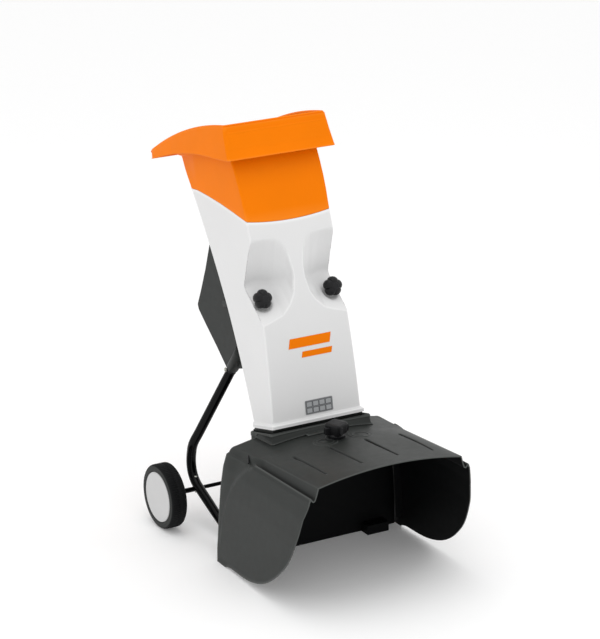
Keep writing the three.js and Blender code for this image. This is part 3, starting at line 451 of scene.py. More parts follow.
# ------------------------------------------------------------------ rounded-rectangle loops
def loop_spec(n_front, n_corner, n_side, n_rear):
    """Point recipes (part, side, fraction or angle) round a loop, from the front left."""
    def corner(part, side, quarter):
        return [(part, side, (quarter + k / n_corner) * math.pi / 2) for k in range(1, n_corner)]

    def run(part, side, a, b, n):
        return [(part, side, t) for t in np.linspace(a, b, n + 1)]

    return (run("front", 0, -1, 1, n_front) + corner("front corner", 1, -1)
            + run("side", 1, 0, 1, n_side) + corner("rear corner", 1, 0)
            + run("rear", 0, 1, -1, n_rear) + corner("rear corner", -1, 1)
            + run("side", -1, 1, 0, n_side) + corner("front corner", -1, 2))


def loop_points(spec, half_width, front, rear, front_r, rear_r, warp=1.0):
    """(x, y) points of a loop; width, front and rear may be given for each point."""
    sizes = (np.broadcast_to(size, len(spec)) for size in (half_width, front, rear))
    out = []
    for (part, side, t), w, y0, y1 in zip(spec, *sizes):
        if part == "front":
            out.append((t * (w - front_r), y0))
        elif part == "rear":
            out.append((t * (w - rear_r), y1))
        elif part == "side":
            out.append((side * w, y0 + front_r + t ** warp * (y1 - rear_r - y0 - front_r)))
        else:
            r, y = (front_r, y0 + front_r) if part == "front corner" else (rear_r, y1 - rear_r)
            out.append((side * (w - r) + r * math.cos(t), y + r * math.sin(t)))
    return np.array(out)


def level_ring(spec, half_width, front, rear, front_r, rear_r, height):
    """Loop of layout points whose z is height(x, y)."""
    x, y = loop_points(spec, half_width, front, rear, front_r, rear_r).T
    return np.column_stack([x, y, height(x, y)])


# ------------------------------------------------------------------ column
FOOT_Z, COLUMN_SPAN = 412, 583  # foot height at y = 0 and nominal height of the column
FOOT_SLOPE = 0.26               # how fast the foot drops towards the rear
FOOT_FLARE = 6.3                # widening of the lowest 15 mm
FOOT_FLARE_FRONT = 11.0         # the same, towards the front
COLUMN_FRONT_R, COLUMN_REAR_R = 5.0, 19.0
KNOB_X, KNOB_U, KNOB_V = 118.8, 78.5, 42.0  # clamp knob seats in the tilted frame

# (z, half width)
HALF_WIDTH = [(380, 151), (427, 150), (706, 143), (935, 140.7), (995, 140.6), (1087, 141.7),
              (1154.5, 142.9), (1200, 143.5)]
# (y, z) of the column-to-hopper seam along the sides
SIDE_SEAM = [(100, 995.5), (179, 995.5), (260, 1004), (337, 1010.5), (414, 1014), (480, 1015),
             (560, 1006)]
# Front hollows, one each side: (|x|, u) of the upper and lower edges
SCOOP_INNER, SCOOP_OUTER = 18.5, 141.5
SCOOP_TOP = [(18, 150), (20, 153), (28, 195), (40, 220), (60, 239), (92, 246), (115, 246),
             (141, 244), (160, 243)]
SCOOP_LOW = [(18, 125), (20, 121), (28, 82), (45, 52), (72, 24), (112, 10), (142, 0), (160, -5)]
LEDGE_SLOPE = 0.655


def y_front(z):
    t = z - 427
    return 13.4 + 0.1713 * t + 2.149e-4 * t * t


def y_rear(z):
    t = z - 375
    return 127.8 + 0.4767 * t + 2.558e-4 * t * t


def half_width(z):
    return table(HALF_WIDTH, z)


def seam(x, y):
    """Seam height, lower towards the middle of the front."""
    near_front = np.clip(1 - np.maximum(0, y - 180) / 157, 0, 1)
    return table(SIDE_SEAM, y) - 10.5 * (1 - np.minimum(1, (x / 140) ** 2)) * near_front


def scoop_depth(x, u):
    """Depth v of the front hollows, and the fraction of the way up their upper wall."""
    ax = np.clip(np.abs(x), SCOOP_INNER, SCOOP_OUTER)
    across = np.clip((ax - SCOOP_INNER) / (SCOOP_OUTER - SCOOP_INNER), 0, 1)
    deepest = 80 * np.sin(np.pi / 2 * across) ** 0.56 + 1e-3
    low, top = table(SCOOP_LOW, ax), table(SCOOP_TOP, ax)
    deepest_u = np.minimum(low + deepest / LEDGE_SLOPE, top - 6)
    ledge = (u - low) * LEDGE_SLOPE
    t = (u - deepest_u) / (top - deepest_u)
    wall = deepest * (1 - t) + deepest * 0.02 * np.sin(np.pi * np.clip(t, 0, 1))
    depth = soft_min(ledge, wall, 16.0)
    # flat round seat under each knob
    r = np.hypot(np.abs(x) - KNOB_X, u - KNOB_U)
    depth = soft_max(depth, (KNOB_V - 0.6) - 2.2 * np.maximum(0, r - 29.5), 2.5)
    return np.where(np.abs(x) > SCOOP_INNER, depth, -50.0), t


def column_skin():
    spec = loop_spec(122, 5, 60, 16)
    # levels above the foot: close at the flare and through the hollows
    levels = np.concatenate([[0, 3, 6, 9.5, 11, 12.5, 14, 15.5, 17, 20], np.linspace(28, 280, 13),
                             np.linspace(286, 540, 122), np.linspace(548, 583, 7)])
    rows = []
    for s in levels / COLUMN_SPAN:
        # settle each point between the sloping foot and the curved seam
        z = np.full(len(spec), FOOT_Z + s * COLUMN_SPAN)
        flare = 1 - smooth_step(9.5, 17.0, s * COLUMN_SPAN)
        for _ in range(4):
            x, y = loop_points(spec, half_width(z) + FOOT_FLARE * flare,
                               y_front(z) - FOOT_FLARE_FRONT * flare, y_rear(z),
                               COLUMN_FRONT_R, COLUMN_REAR_R, warp=1.2).T
            z = lerp(FOOT_Z - FOOT_SLOPE * y, seam(x, y) - 0.4, s)
        v, u = untilt(y, z)
        depth, t = scoop_depth(x, u)
        scooped = soft_max(v, depth, 1.5 + 3.4 * smooth_step(0.55, 1.0, t))
        v = np.where((np.abs(x) > 12) & (u > -30) & (u < 275), scooped, v)
        rows.append(np.column_stack(tilt(x, v, u)))
    return clean(grid("column_skin", rows, wrap_cols=True), 0.0004, recalc=False)


def column():
    o = column_skin()
    set_material(o, "white_plastic")
    mod(o, "SOLIDIFY", thickness=0.0034, offset=-1, use_even_offset=False, use_rim=True,
        thickness_clamp=0.7)
    apply_mods(o)
    # round opening in the rear wall, and the two bolt holes
    cut(o, round_tool(tilt(0, 120, 75), tilt(0, 330, 75), 109, 96))
    for s, _ in SIDES:
        x = s * KNOB_X
        cut(o, round_tool(tilt(x, 0, KNOB_U), tilt(x, 330, KNOB_U), 6.2, 32))
    clean(o, 0.00001, 50, recalc=False)
    weight_normals(o)
    finish(o, "hopper", "white_plastic", "column_shell")


column()

# (radius, height)
SEAT_PROFILE = [(6.3, 60), (6.3, KNOB_V), (14.5, KNOB_V), (16.2, KNOB_V + 0.8),
                (17, KNOB_V + 2.5), (17, 60)]
TUNNEL_PROFILE = [(6.3, 58), (6.3, 190), (9.6, 190), (9.6, 222), (12, 222), (12, 58)]
for s, side in SIDES:
    for name, profile, segments in (("knob_seat_", SEAT_PROFILE, 64),
                                    ("bolt_tunnel_", TUNNEL_PROFILE, 48)):
        o = lathe(name + side, profile, tilt(s * KNOB_X, 0, KNOB_U), (0, TILT_COS, TILT_SIN),
                  segments)
        finish(o, "hopper", "white_plastic")

# ------------------------------------------------------------------ hopper
# (z, y) of the front and rear faces
HOPPER_FRONT = [(960, y_front(960)), (985, y_front(985)), (995, 180), (1050, 201), (1087, 218),
                (1125, 239), (1154.5, 257.4), (1185, 277)]
HOPPER_REAR = [(960, y_rear(960)), (1000, y_rear(1000)), (1010, 530), (1053, 567), (1096, 603),
               (1125, 628), (1185, 680)]
# (y, z) of the skirt's lower edge and of the rim
SKIRT_LOW = [(200, 1178), (213, 1175), (320, 1160), (403, 1151), (527, 1124), (691, 1068),
             (720, 1056)]
RIM_TOP = [(220, 1279), (266, 1271), (326, 1258), (395, 1238), (486, 1209), (644, 1136),
           (715, 1091), (730, 1083)]
# Rings under the funnel and down inside the skirt: (half width, front y, rear y, front corner
# radius, rear corner radius, height as a fraction from skirt edge to rim, added height)
UNDERSIDE = [
    (155, 266, 655, 8, 20, 0.35, 0), (165, 262, 707, 8, 18, 0.78, 0),
    (168, 255, 721, 8, 17, 0.80, 0), (171, 245, 721, 8, 16, 0.72, 0),
    (176, 220, 711, 7, 15, 0, 4), (176.4, 217.5, 711.3, 7, 15, 0, 0.8),
    (177.3, 216.2, 712.3, 7.4, 15, 0, 0), (179, 214.6, 714, 8, 16, 0, 0),
    (179.8, 213.7, 714.8, 8, 16, 0, 0.8), (180, 213.5, 715, 8, 16, 0, 2.2),
]
SKIRT_REAR, RIM_REAR = 715, 738
RIM_R = 4.5


def smooth_table(rows, a, b):
    """Fifth-degree curve fitted to a table between a and b."""
    ys = np.linspace(a, b, 40)
    fit = np.polyfit(ys, table(rows, ys), 5)
    return lambda y: np.polyval(fit, y)


skirt_low_z = smooth_table(SKIRT_LOW, 200, 720)
rim_top_z = smooth_table(RIM_TOP, 220, 730)


def hopper_skin():
    spec = loop_spec(28, 8, 40, 24)
    rows = []

    def add_skirt(half, front, rear, front_r, rear_r, fraction, lift=0.0):
        rows.append(level_ring(
            spec, half, front, rear, front_r, rear_r,
            lambda x, y: lerp(skirt_low_z(y), rim_top_z(y), fraction) + lift))

    def body_ring(t, inset):
        """Ring from just above the seam (t = 0) to the top of the funnel body (t = 1)."""
        z_front, z_rear = 1010 + 170 * t, 1010 + 86 * t
        y0 = table(HOPPER_FRONT, z_front) + inset * 1.15
        y1 = table(HOPPER_REAR, z_rear) + 14 * t - inset * 1.35
        ring = level_ring(spec, half_width(1010) * (1 - t) + 146 * t - inset, y0, y1,
                          5 + 2 * t, 17 - 3 * t,
                          lambda x, y: z_front + (z_rear - z_front) * (y - y0) / (y1 - y0))
        # the sides draw in behind a crease that leans with the funnel
        crease = 481 + (ring[:, 2] - 1019) * 0.17
        ring[:, 0] -= (np.sign(ring[:, 0]) * 0.13 * np.clip((ring[:, 2] - 1004) / 80, 0, 1)
                       * np.maximum(0, ring[:, 1] - crease))
        return ring

    def seam_ring(inset, lift):
        """Ring that follows the seam, lifted by lift."""
        z = np.full(len(spec), 1000.0)
        for _ in range(4):
            x, y = loop_points(spec, half_width(z) - inset, y_front(z) + inset * 1.08,
                               y_rear(z) - inset * 1.15, COLUMN_FRONT_R, COLUMN_REAR_R).T
            z = seam(x, y) + lift
        return np.column_stack([x, y, z])

    rows.append(seam_ring(0.6, 0.35))
    lip = seam_ring(0.0, 1.2)
    rows.append(lip)
    for i, t in enumerate(np.linspace(0.12, 1, 16)):
        ring = body_ring(t, 0.0)
        if i < 4:  # keep the lowest rings above the wavy seam
            ring[:, 2] = np.maximum(ring[:, 2], lip[:, 2] + 6 * (i + 1))
        rows.append(ring)
    for ring in UNDERSIDE:
        add_skirt(*ring)
    # outside of the skirt, slightly hollow in section
    for t in (0.08, 0.16, 0.3, 0.45, 0.6, 0.75, 0.88, 0.94):
        add_skirt(180 - 10 * t * (0.75 + 0.25 * t), 213.5 + 47.5 * t + 3 * math.sin(math.pi * t),
                  lerp(SKIRT_REAR, RIM_REAR, t), 8, 22, t)
    # rolled rim
    for k in range(9):
        c, s = math.cos(math.pi * k / 8), math.sin(math.pi * k / 8)
        add_skirt(166.0 + RIM_R * c * 0.98, 266 - RIM_R * c, RIM_REAR - 4 + RIM_R * c * 0.9,
                  7.5 + c * 1.5, 14 + c * 2, 1, -6.5 + 6.0 * s)
    # inside of the funnel
    for t in (0.0, 0.25, 0.5, 0.75, 1.0):
        y0 = lerp(271, table(HOPPER_FRONT, 1180) + 5, t)
        y1 = lerp(729, 612, t)
        rows.append(level_ring(
            spec, lerp(161.5, 142, t), y0, y1, 7, 13 + 2 * t,
            lambda x, y: ((rim_top_z(y) - 12) * (1 - t)
                          + t * (1180 - 84 * (y - y0) / (y1 - y0) - 4))))
    for t in np.linspace(0.9, 0.12, 8):
        rows.append(body_ring(t, 4.2))
    # spigot inside the column
    for inset, lift in ((5.2, 0.0), (5.2, -14.0), (3.9, -14.0), (3.9, 0.1)):
        rows.append(seam_ring(inset, lift))
    return clean(grid("hopper_skin", rows, wrap_rows=True, wrap_cols=True), 1e-6, 42)


hopper = hopper_skin()
weight_normals(hopper)
finish(hopper, "hopper", "orange_plastic", "feed_hopper")


def curtain():
    """Five leaning rubber strips with slits between them."""
    steps = 14
    for i, edges in enumerate(((-126, -76), (-74, -26), (-24, 24), (26, 74), (76, 126))):
        rows = []
        for j in range(steps + 1):
            t = j / steps
            sag = 2.5 * math.sin(math.pi * t) * (1 if i % 2 else 0.4)
            rows.append([(x, 226.5 + 103 * t + sag, 1087 - 113 * t) for x in edges])
        o = grid("curtain_strip_%d" % (i + 1), rows)
        mod(o, "SOLIDIFY", thickness=0.0026, offset=0)
        mod(o, "BEVEL", width=0.0006, segments=2)
        apply_mods(o)
        finish(o, "hopper", "curtain_rubber", *(["splash_curtain"] if i == 0 else []))


curtain()

# ------------------------------------------------------------------ column graphics
CELL_W, CELL_H = 19.5, 15.5
CELL_PITCH_X, CELL_PITCH_Z = 21.6, 18.5
FIELD_INSET = 1.2


def front_patch(name, outline, lift, thickness, material, *replaces):
    """Plate with an (x, z) outline that follows the column front, lift mm proud of it."""
    n = len(outline)
    verts = [(x, y_front(z) - off, z) for off in (lift, lift + thickness) for x, z in outline]
    faces = [tuple(range(n)), tuple(range(2 * n - 1, n - 1, -1))]
    for i in range(n):
        k = (i + 1) % n
        faces.append((n + i, n + k, k, i))
    o = clean(new_obj(name, to_scene(verts), faces, smooth=False), 1e-7, 30)
    finish(o, "hopper", material, *replaces)


def rounded_rect(x0, x1, z0, z1, r, steps=3):
    points = []
    for cx, cz, start in ((x1 - r, z0 + r, -90), (x1 - r, z1 - r, 0),
                          (x0 + r, z1 - r, 90), (x0 + r, z0 + r, 180)):
        for k in range(steps + 1):
            a = math.radians(start + 90 * k / steps)
            points.append((cx + r * math.cos(a), cz + r * math.sin(a)))
    return points


def stripe(name, x0, x1, z0, z1):
    """Slanted printed bar."""
    rows = []
    for z in np.linspace(z0, z1, 6):
        lean = (z - z0) * 0.28
        rows.append([(x, y_front(z) - 0.15, z) for x in np.linspace(x0 + lean, x1 + lean, 12)])
    o = grid(name, rows)
    mod(o, "SOLIDIFY", thickness=0.0003, offset=1)
    apply_mods(o)
    clean(o, 1e-7, 30)
    finish(o, "hopper", "stripe_print")


front_patch("data_plate_skin", rounded_rect(-36.6, 56, 432, 473, 3, 5), 0.15, 0.9,
            "label_plate", "data_plate")
for i in range(4):
    for j in range(2):
        x0, z0 = -33 + i * CELL_PITCH_X, 435.5 + j * CELL_PITCH_Z
        x1, z1 = x0 + CELL_W, z0 + CELL_H
        front_patch("plate_cell_%d_%d" % (i, j), rounded_rect(x0, x1, z0, z1, 1.5),
                    0.95, 0.45, "label_ink")
        field = rounded_rect(x0 + FIELD_INSET, x1 - FIELD_INSET,
                             z0 + FIELD_INSET, z1 - FIELD_INSET, 1.0)
        front_patch("plate_field_%d_%d" % (i, j), field, 1.3, 0.3, "label_field")
stripe("stripe_wide", -71, 68, 629, 657)
stripe("stripe_narrow", -31, 70, 599, 616)

# ------------------------------------------------------------------ discharge hood
HOOD_FRONT, HOOD_LENGTH = -400, 475
ARCH_X, ARCH_DROP = 238, 25  # the top falls by ARCH_DROP from the middle to |x| = ARCH_X
GROOVE_X = (60, 178)
LATCH_Y = -98
BORE_R = 6.2
TUBE_X, TUBE_FOOT_Z = 212, 13.2  # lower ends of the frame tubes
# (y, z) of the hood's lower edge seen from the side
HOOD_EDGE = [(-400, 350), (-399, 343), (-396, 330), (-386, 296), (-371, 232), (-332, 147),
             (-290, 99), (-243, 60), (-193, 34), (-131, 17), (-83, 12), (-35, 11), (-4, 10),
             (20, 3), (24, 0.2), (75, 0.2)]
# (y, z) of the border of each side panel
PANEL_Y = np.array([-430, -398, -261, -128, -84, -52, -21, 16, 48, 62])
PANEL_Z = np.array([376, 374, 372, 364, 352, 334, 305, 257, 166, 60])


def hood_t(y):
    """0 at the front of the hood, 1 at its rear."""
    return (y - HOOD_FRONT) / HOOD_LENGTH


def crown(y):
    return 418 - 38 * (y - HOOD_FRONT) / HOOD_LENGTH


def hood_top(x, y):
    return crown(y) - ARCH_DROP * (x / ARCH_X) ** 2


def side_x(z, t):
    return table([(-10, 315 - 10 * t), (40, 314 - 9.5 * t), (80, 309 - 5 * t), (150, 300),
                  (232, 292 + 2 * t), (300, 281 + 3 * t), (338, 271 + t), (365, 265 - 2 * t)], z)


def shoulder_z(y):
    return crown(y) - 55 + 20 * hood_t(y)


def chamfer_point(y, q, bulge):
    """(x, z) on the plain shoulder, from its outer edge (q = 0) to the arch (q = 1)."""
    swell = math.sin(math.pi * q)
    return (lerp(265.4 - 2 * hood_t(y), 234.6, q) + bulge * swell ** 0.8,
            lerp(shoulder_z(y) - 5, crown(y) - 24.3, q) + 3.4 * swell)


GROOVE_STEPS = (-8, -6, -4.5, -3.4, -2.4, -1.2, 0, 1.2, 2.4, 3.4, 4.5, 6, 8)
ARCH_STATIONS = np.array(sorted(
    {round(x, 2) for x in [153.0, *np.linspace(0, 232, 62),
                           *(g + d for g in GROOVE_X for d in GROOVE_STEPS)]})[::-1])


def hood_section(y, foot_z):
    """(x, z) points of the right half of the section, from the foot to the crown."""
    t, top, z = hood_t(y), crown(y), shoulder_z(y)
    side_z = np.linspace(foot_z, max(foot_z + 1, z - 9), 46)
    side = np.column_stack([side_x(side_z, t), side_z])
    # towards the front a valley runs along the shoulder; it fades into a plain chamfer
    dip = 7.5 * (1 - smooth_step(-110, -60, y))
    valley = [(265.4 - 2 * t, z - 5), (264.8 - 2 * t, z - 1.6), (263.0 - 2 * t, z + 1.0),
              (260.4 - 2 * t, z + 1.8), (257.8 - 2 * t, z + 0.4 - 0.3 * dip),
              (255.4 - 2.2 * t, z - 0.7 * dip), (253.0 - 2.5 * t, z - dip),
              (250.4 - 2.6 * t, z + 1.4 - dip)]
    wall_x, wall_z = valley[-1]
    valley += [(lerp(wall_x, 238.6, q ** 0.85), lerp(wall_z, top - 25.8, q))
               for q in (0.12, 0.3, 0.5, 0.7, 0.86, 0.95)]
    valley += [(238.0, top - 25.2), (236.6, top - 24.7), (234.6, top - 24.3)]
    last = len(valley) - 1
    chamfer = [chamfer_point(y, i / last, 4.95) for i in range(last + 1)]
    plain = smooth_step(-105, -45, y)
    shoulder = np.array(valley) * (1 - plain) + np.array(chamfer) * plain
    # arched top with two grooves each side, swollen near its edges
    x = ARCH_STATIONS
    depth = 8.0 * np.interp(y, [-346, -338, -172, -164, -158], [0, 0.5, 1.0, 1.0, 0])
    spread = np.interp(y, [-320, -170], [2.6, 3.9])
    arch_z = hood_top(x, y) - depth * sum(np.exp(-((x - g) / spread) ** 2) for g in GROOVE_X)
    if y < -70:
        arch_z = arch_z + (46.0 * math.sin(math.pi * (y - HOOD_FRONT) / 330)
                           * (x / ARCH_X) ** 4 * (1 - (x / ARCH_X) ** 2))
    return np.vstack([side, shoulder, np.column_stack([x, arch_z])])


def hood_skin():
    ys = np.concatenate([np.linspace(-400, -384, 13), np.linspace(-382, -330, 22),
                         np.linspace(-322, -50, 62), np.linspace(-48, -20, 8),
                         [-19, -14, -9, -4], np.linspace(0, 75, 18)])
    edge = np.array(spline([np.array(p, float) for p in HOOD_EDGE], 24))
    foot_z = np.interp(ys, np.maximum.accumulate(edge[:, 0]), np.maximum(edge[:, 1], 0.2))
    rows = []
    for y, foot in zip(ys, foot_z):
        section = hood_section(y, foot)
        right = np.column_stack([section[:, 0], np.full(len(section), y), section[:, 1]])
        rows.append(np.vstack([right, right[-2::-1] * (-1, 1, 1)]))
    rows = np.array(rows)
    # everything behind and above the panel border is sunk into the side
    x, y, z = rows[..., 0], rows[..., 1], rows[..., 2]
    slope = np.interp(y, PANEL_Y, np.gradient(PANEL_Z, PANEL_Y))
    dist = (z - np.interp(y, PANEL_Y, PANEL_Z)) / np.sqrt(1 + slope ** 2)
    sunk = (smooth_step(-2.5, 3.0, dist) * smooth_step(240, 262, np.abs(x))
            * smooth_step(-120, -62, y))
    rows[..., 0] = x - np.sign(x) * 5.0 * sunk * (1 - 0.6 * smooth_step(0, 60, y))
    o = grid("hood_skin", rows, flip=True)
    # open the mouth under the column and the latch bore
    bm = bmesh.new()
    bm.from_mesh(o.data)
    gone = []
    for face in bm.faces:
        c = face.calc_center_median() * 1000
        x, y = abs(c.x), c.y - LAYOUT_Y
        if (x < 153 and y > -19 and c.z > 311) or math.hypot(x, y - LATCH_Y) < BORE_R:
            gone.append(face)
    bmesh.ops.delete(bm, geom=gone, context="FACES")
    bm.to_mesh(o.data)
    bm.free()
    return clean(o, 1e-6, recalc=False)


def hood():
    o = hood_skin()
    # the inner faces of the shell take the darker copy of the grey plastic, painted shade
    for material in ("grey_plastic", "grey_plastic_inside_painted_shade"):
        o.data.materials.append(MATERIALS[material])
    mod(o, "SOLIDIFY", thickness=0.0038, offset=-1, use_even_offset=False, use_rim=True,
        material_offset=1, material_offset_rim=0)
    apply_mods(o)
    clean(o, 0.00001, 55, recalc=False)
    weight_normals(o)
    finish(o, "hood", "grey_plastic", "discharge_hood")


def cut_tube_notch(o, s, round_y, square_y):
    """Arched notch over a frame tube, its round part from round_y, its lower from square_y."""
    r, x = 14.2, s * TUBE_X
    cut(o, round_tool((x, round_y, TUBE_FOOT_Z), (x, 90, TUBE_FOOT_Z), r, 40))
    cut(o, box("tool", x - r, x + r, square_y, 90, -10, TUBE_FOOT_Z))


def hood_back_wall():
    y = 52
    t, top = hood_t(y), crown(y)
    half = [(side_x(z, t) - 8.6, z) for z in np.linspace(0.3, 330, 14)]
    half += [(256 - 2 * t, 340), (243, top - 46 + 18 * t), (234, top - 29)]
    half += [(x, hood_top(x, y) - 4.4) for x in np.linspace(220, 0, 12)]
    outline = half + [(-x, z) for x, z in half[-2::-1]]
    rows = [[(x, wall_y, z) for x, z in outline] for wall_y in (y - 2, y + 2)]
    o = clean(grid("hood_back_wall", rows, wrap_cols=True, caps=True), 1e-6)
    cut(o, box("tool", -153, 153, 30, 120, 305, 470))
    for s, _ in SIDES:
        cut_tube_notch(o, s, 0, 30)
    # the back wall takes the darker inside plastic, painted shade
    finish_bevelled(o, 0.8, 2, "hood", "grey_plastic_inside_painted_shade")


def hood_side_parts(s, side):
    """Foot block and upright rib inside one side of the hood."""
    # foot blocks and ribs take the darker inside plastic, painted shade
    o = box("foot_block_" + side, s * 179, s * 253, 12, 50.2, 0.3, 30)
    cut_tube_notch(o, s, 15, 15)
    finish_bevelled(o, 1.6, 3, "hood", "grey_plastic_inside_painted_shade")
    rows = []
    for z in np.linspace(40, 335, 24):
        x = float(side_x(z, 0.86)) - 9.4
        rows.append([(s * x, 4, z), (s * (x - 22), 4, z), (s * (x - 22), 8, z), (s * x, 8, z)])
    o = clean(grid("hood_rib_" + side, rows, wrap_cols=True, caps=True), 1e-6)
    finish_bevelled(o, 0.8, 2, "hood", "grey_plastic_inside_painted_shade")


hood()
hood_back_wall()
for s, side in SIDES:
    hood_side_parts(s, side)

# plain ringed boss each side of the latch
BOSS_PROFILE = [(0, -1), (0, 0.9), (11, 0.9), (12.5, 0.2), (22, 0.2), (23.4, 1.5), (26.6, 1.5),
                (28, 0.5), (34, 0.4), (35.2, 0.9), (36.6, 0.6), (37.5, -0.6), (37.5, -1.5)]
for side, x, y in (("left", -46, -114), ("right", 74, -113)):
    normal = Vector((2 * ARCH_DROP * x / ARCH_X ** 2, 0.08, 1)).normalized()
    o = lathe("round_boss_" + side, BOSS_PROFILE, (x, y, hood_top(x, y)), normal)
    finish(o, "hood", "grey_plastic")

latch_boss = lathe("latch_boss", [(6, -2), (6, 2.2), (28, 2.2), (30.5, 1.6), (33, -1.2), (33, -3)],
                   (0, LATCH_Y, crown(LATCH_Y)), (0, 0, 1), 72)
finish(latch_boss, "hood", "grey_plastic")


def shoulder_slot_shade(s, side):
    """Black bead that runs back and inwards over the shoulder: painted shade standing for a slot,
    drawn as a rounded bead.
    """
    points = []
    for x, y in ((261.5, -44.5), (258, -38), (254, -31), (250, -24.5), (247, -18.5)):
        outer = 265.4 - 2 * hood_t(y)
        on_x, on_z = chamfer_point(y, (x - outer) / (234.6 - outer), 2.565)
        points.append((s * on_x, y, on_z))
    # the black bead is painted shade standing for the dark inside of the slot
    finish(sweep("slot_shade_bead_" + side, points, 2.6, 20), "hood", "black_plastic")


for s, side in SIDES:
    shoulder_slot_shade(s, side)

# ------------------------------------------------------------------ latch knob
LATCH_Z = crown(LATCH_Y) + 2.6
LATCH_PROFILE = [(0, 44.2), (14, 44.2), (24, 44.0), (26.2, 43.0), (27.2, 41.2), (27.6, 36),
                 (27.6, 26), (27.2, 14.5), (26.4, 11.8), (26.6, 9), (27.6, 7.6), (27.6, 2),
                 (26.8, 0.3), (5.4, 0.3), (5.4, 3), (0, 3)]


def latch_shape(r, h, angles):
    """Rounded square above a round skirt."""
    if h < 10:
        return np.full_like(angles, r)
    a = angles + 0.35
    return r * (np.abs(np.cos(a)) ** 9 + np.abs(np.sin(a)) ** 9) ** (-1 / 9) / 1.1


latch = lathe("latch_grip", LATCH_PROFILE, (0, LATCH_Y, LATCH_Z), (0, 0, 1), 144, latch_shape)
finish(latch, "latch", "black_plastic", "latch_knob")
for s, side in SIDES:
    o = box("latch_wing_" + side, s * 18, s * 39, LATCH_Y - 7, LATCH_Y + 7,
            LATCH_Z + 12, LATCH_Z + 34)
    finish_bevelled(o, 2.4, 4, "latch", "black_plastic")
pointer = prism("latch_pointer", [(-131, LATCH_Z + 15), (-120, LATCH_Z + 14),
                                  (-120, LATCH_Z + 38), (-127, LATCH_Z + 34)], -5, 5)
finish_bevelled(pointer, 1.4, 3, "latch", "black_plastic")

# ------------------------------------------------------------------ clamp knobs
STAR_PROFILE = [(0, 38.5), (8, 38.3), (15, 37.4), (20, 35.8), (24, 33.2), (27, 29.6), (29, 25),
                (29.8, 20), (29.6, 14), (28.2, 10.2), (24, 8.4), (17, 7.6), (14.6, 6.4),
                (14, 4), (14, 0.2), (5.6, 0.2), (5.4, 4), (0, 4)]
DISC_PROFILE = [(0, 37.6), (0, 39.1), (9.2, 38.9), (10, 38.2), (10, 37.2)]


def star_shape(r, h, angles):
    """Five lobes that fade out towards the middle."""
    lobes = np.abs(np.cos(2.5 * angles)) ** 0.5
    return r * (1 - 0.23 * float(np.clip((r - 6) / 14, 0, 1)) * (1 - lobes))


for s, side in SIDES:
    axis = (0, -TILT_COS, -TILT_SIN)
    seat = tilt(s * KNOB_X, KNOB_V - 0.6, KNOB_U)
    star = lathe("star_grip_" + side, STAR_PROFILE, seat, axis, 160, star_shape)
    finish(star, "knob_" + side, "black_plastic", "clamp_knob_" + side)
    disc = lathe("grip_disc_" + side, DISC_PROFILE, seat, axis, 48)
    finish(disc, "knob_" + side, "black_plastic")

# ------------------------------------------------------------------ collar round the column foot
COLLAR_TOP_Z = 402.5  # at y = 0; the top slopes with the column foot
# Rings: (half width, front y, rear y, front corner radius, rear corner radius, added height),
# measured from the hood surface and from the sloping top
COLLAR_FOOT = [
    (160, -16, 110, 4, 8, 0), (173, -27, 118, 8, 12, 0), (173, -27, 118, 8, 12, 2.2),
    (171.5, -24.5, 118, 7.5, 12, 3.2), (169.4, -22, 118, 6.5, 12, 5),
    (168.6, -21, 118, 6.5, 12, 7.5),
]
COLLAR_RIM = [
    (169.9, -8.6, 118, 6, 12, -1.2), (169.4, -7.8, 117.5, 6, 12, 0),
    (166.6, -4.6, 116, 5.5, 11, 0), (166, -4, 115.6, 5, 11, -1), (165, -3, 115, 5, 10, -9),
    (153, 3, 124, 5, 10, -9), (152.4, 3.6, 124.5, 5, 10, 8.1), (151.6, 4.2, 125, 5, 10, 8.9),
    (142, 11, 115, 5, 8, 8.9), (141, 12, 114, 5, 8, 7.9),
]


def collar():
    spec = loop_spec(16, 5, 12, 8)

    def top(x, y):
        return COLLAR_TOP_Z - FOOT_SLOPE * y

    def low(x, y):
        surface = hood_top(np.clip(np.abs(x), 0, ARCH_X), np.minimum(y, 75))
        return surface + 0.5 - 34 * smooth_step(75.5, 77.5, y)

    rows = [level_ring(spec, *ring, lambda x, y: low(x, y) + lift)
            for *ring, lift in COLLAR_FOOT]
    # wall, with a step near its top
    for t, step in ((0.3, 0.0), (0.55, 0.4), (0.62, 0.9), (0.66, 2.0), (0.9, 2.0)):
        rows.append(level_ring(
            spec, 168.2 + step, -20.4 + 10.6 * t - step * 0.6, 118 + step * 0.2, 6, 12,
            lambda x, y: (low(x, y) + 7) * (1 - t) + top(x, y) * t))
    rows += [level_ring(spec, *ring, lambda x, y: top(x, y) + lift)
             for *ring, lift in COLLAR_RIM]
    rows.append(level_ring(spec, 141, 12, 112, 5, 8,
                           lambda x, y: np.maximum(low(x, y) + 1.0, 372)))
    o = clean(grid("collar_skin", rows, wrap_rows=True, wrap_cols=True), 1e-6, 40)
    weight_normals(o)
    finish(o, "base", "grey_plastic", "outlet_frame")


def collar_flange():
    """Low flange on the hood in front of the collar."""
    section = ((-42, 0.3), (-43, 1.2), (-42, 3.2), (-38, 3.8), (-22, 4.4), (-18, 4.4), (-18, 0.3))
    rows = [[(x, y, hood_top(x, y) + lift) for y, lift in section]
            for x in np.linspace(-62, 62, 17)]
    o = clean(grid("collar_flange", rows, wrap_cols=True, caps=True), 1e-6, 40)
    finish(o, "base", "grey_plastic")


collar()
collar_flange()

# ------------------------------------------------------------------ rear upright, chute, tongue


def column_rear_v(u):
    """v of the column's rear face at u."""
    v = 200.0
    for _ in range(60):
        _, y, z = tilt(0, v, u)
        v += (y_rear(z) - y) * 0.7
    return v


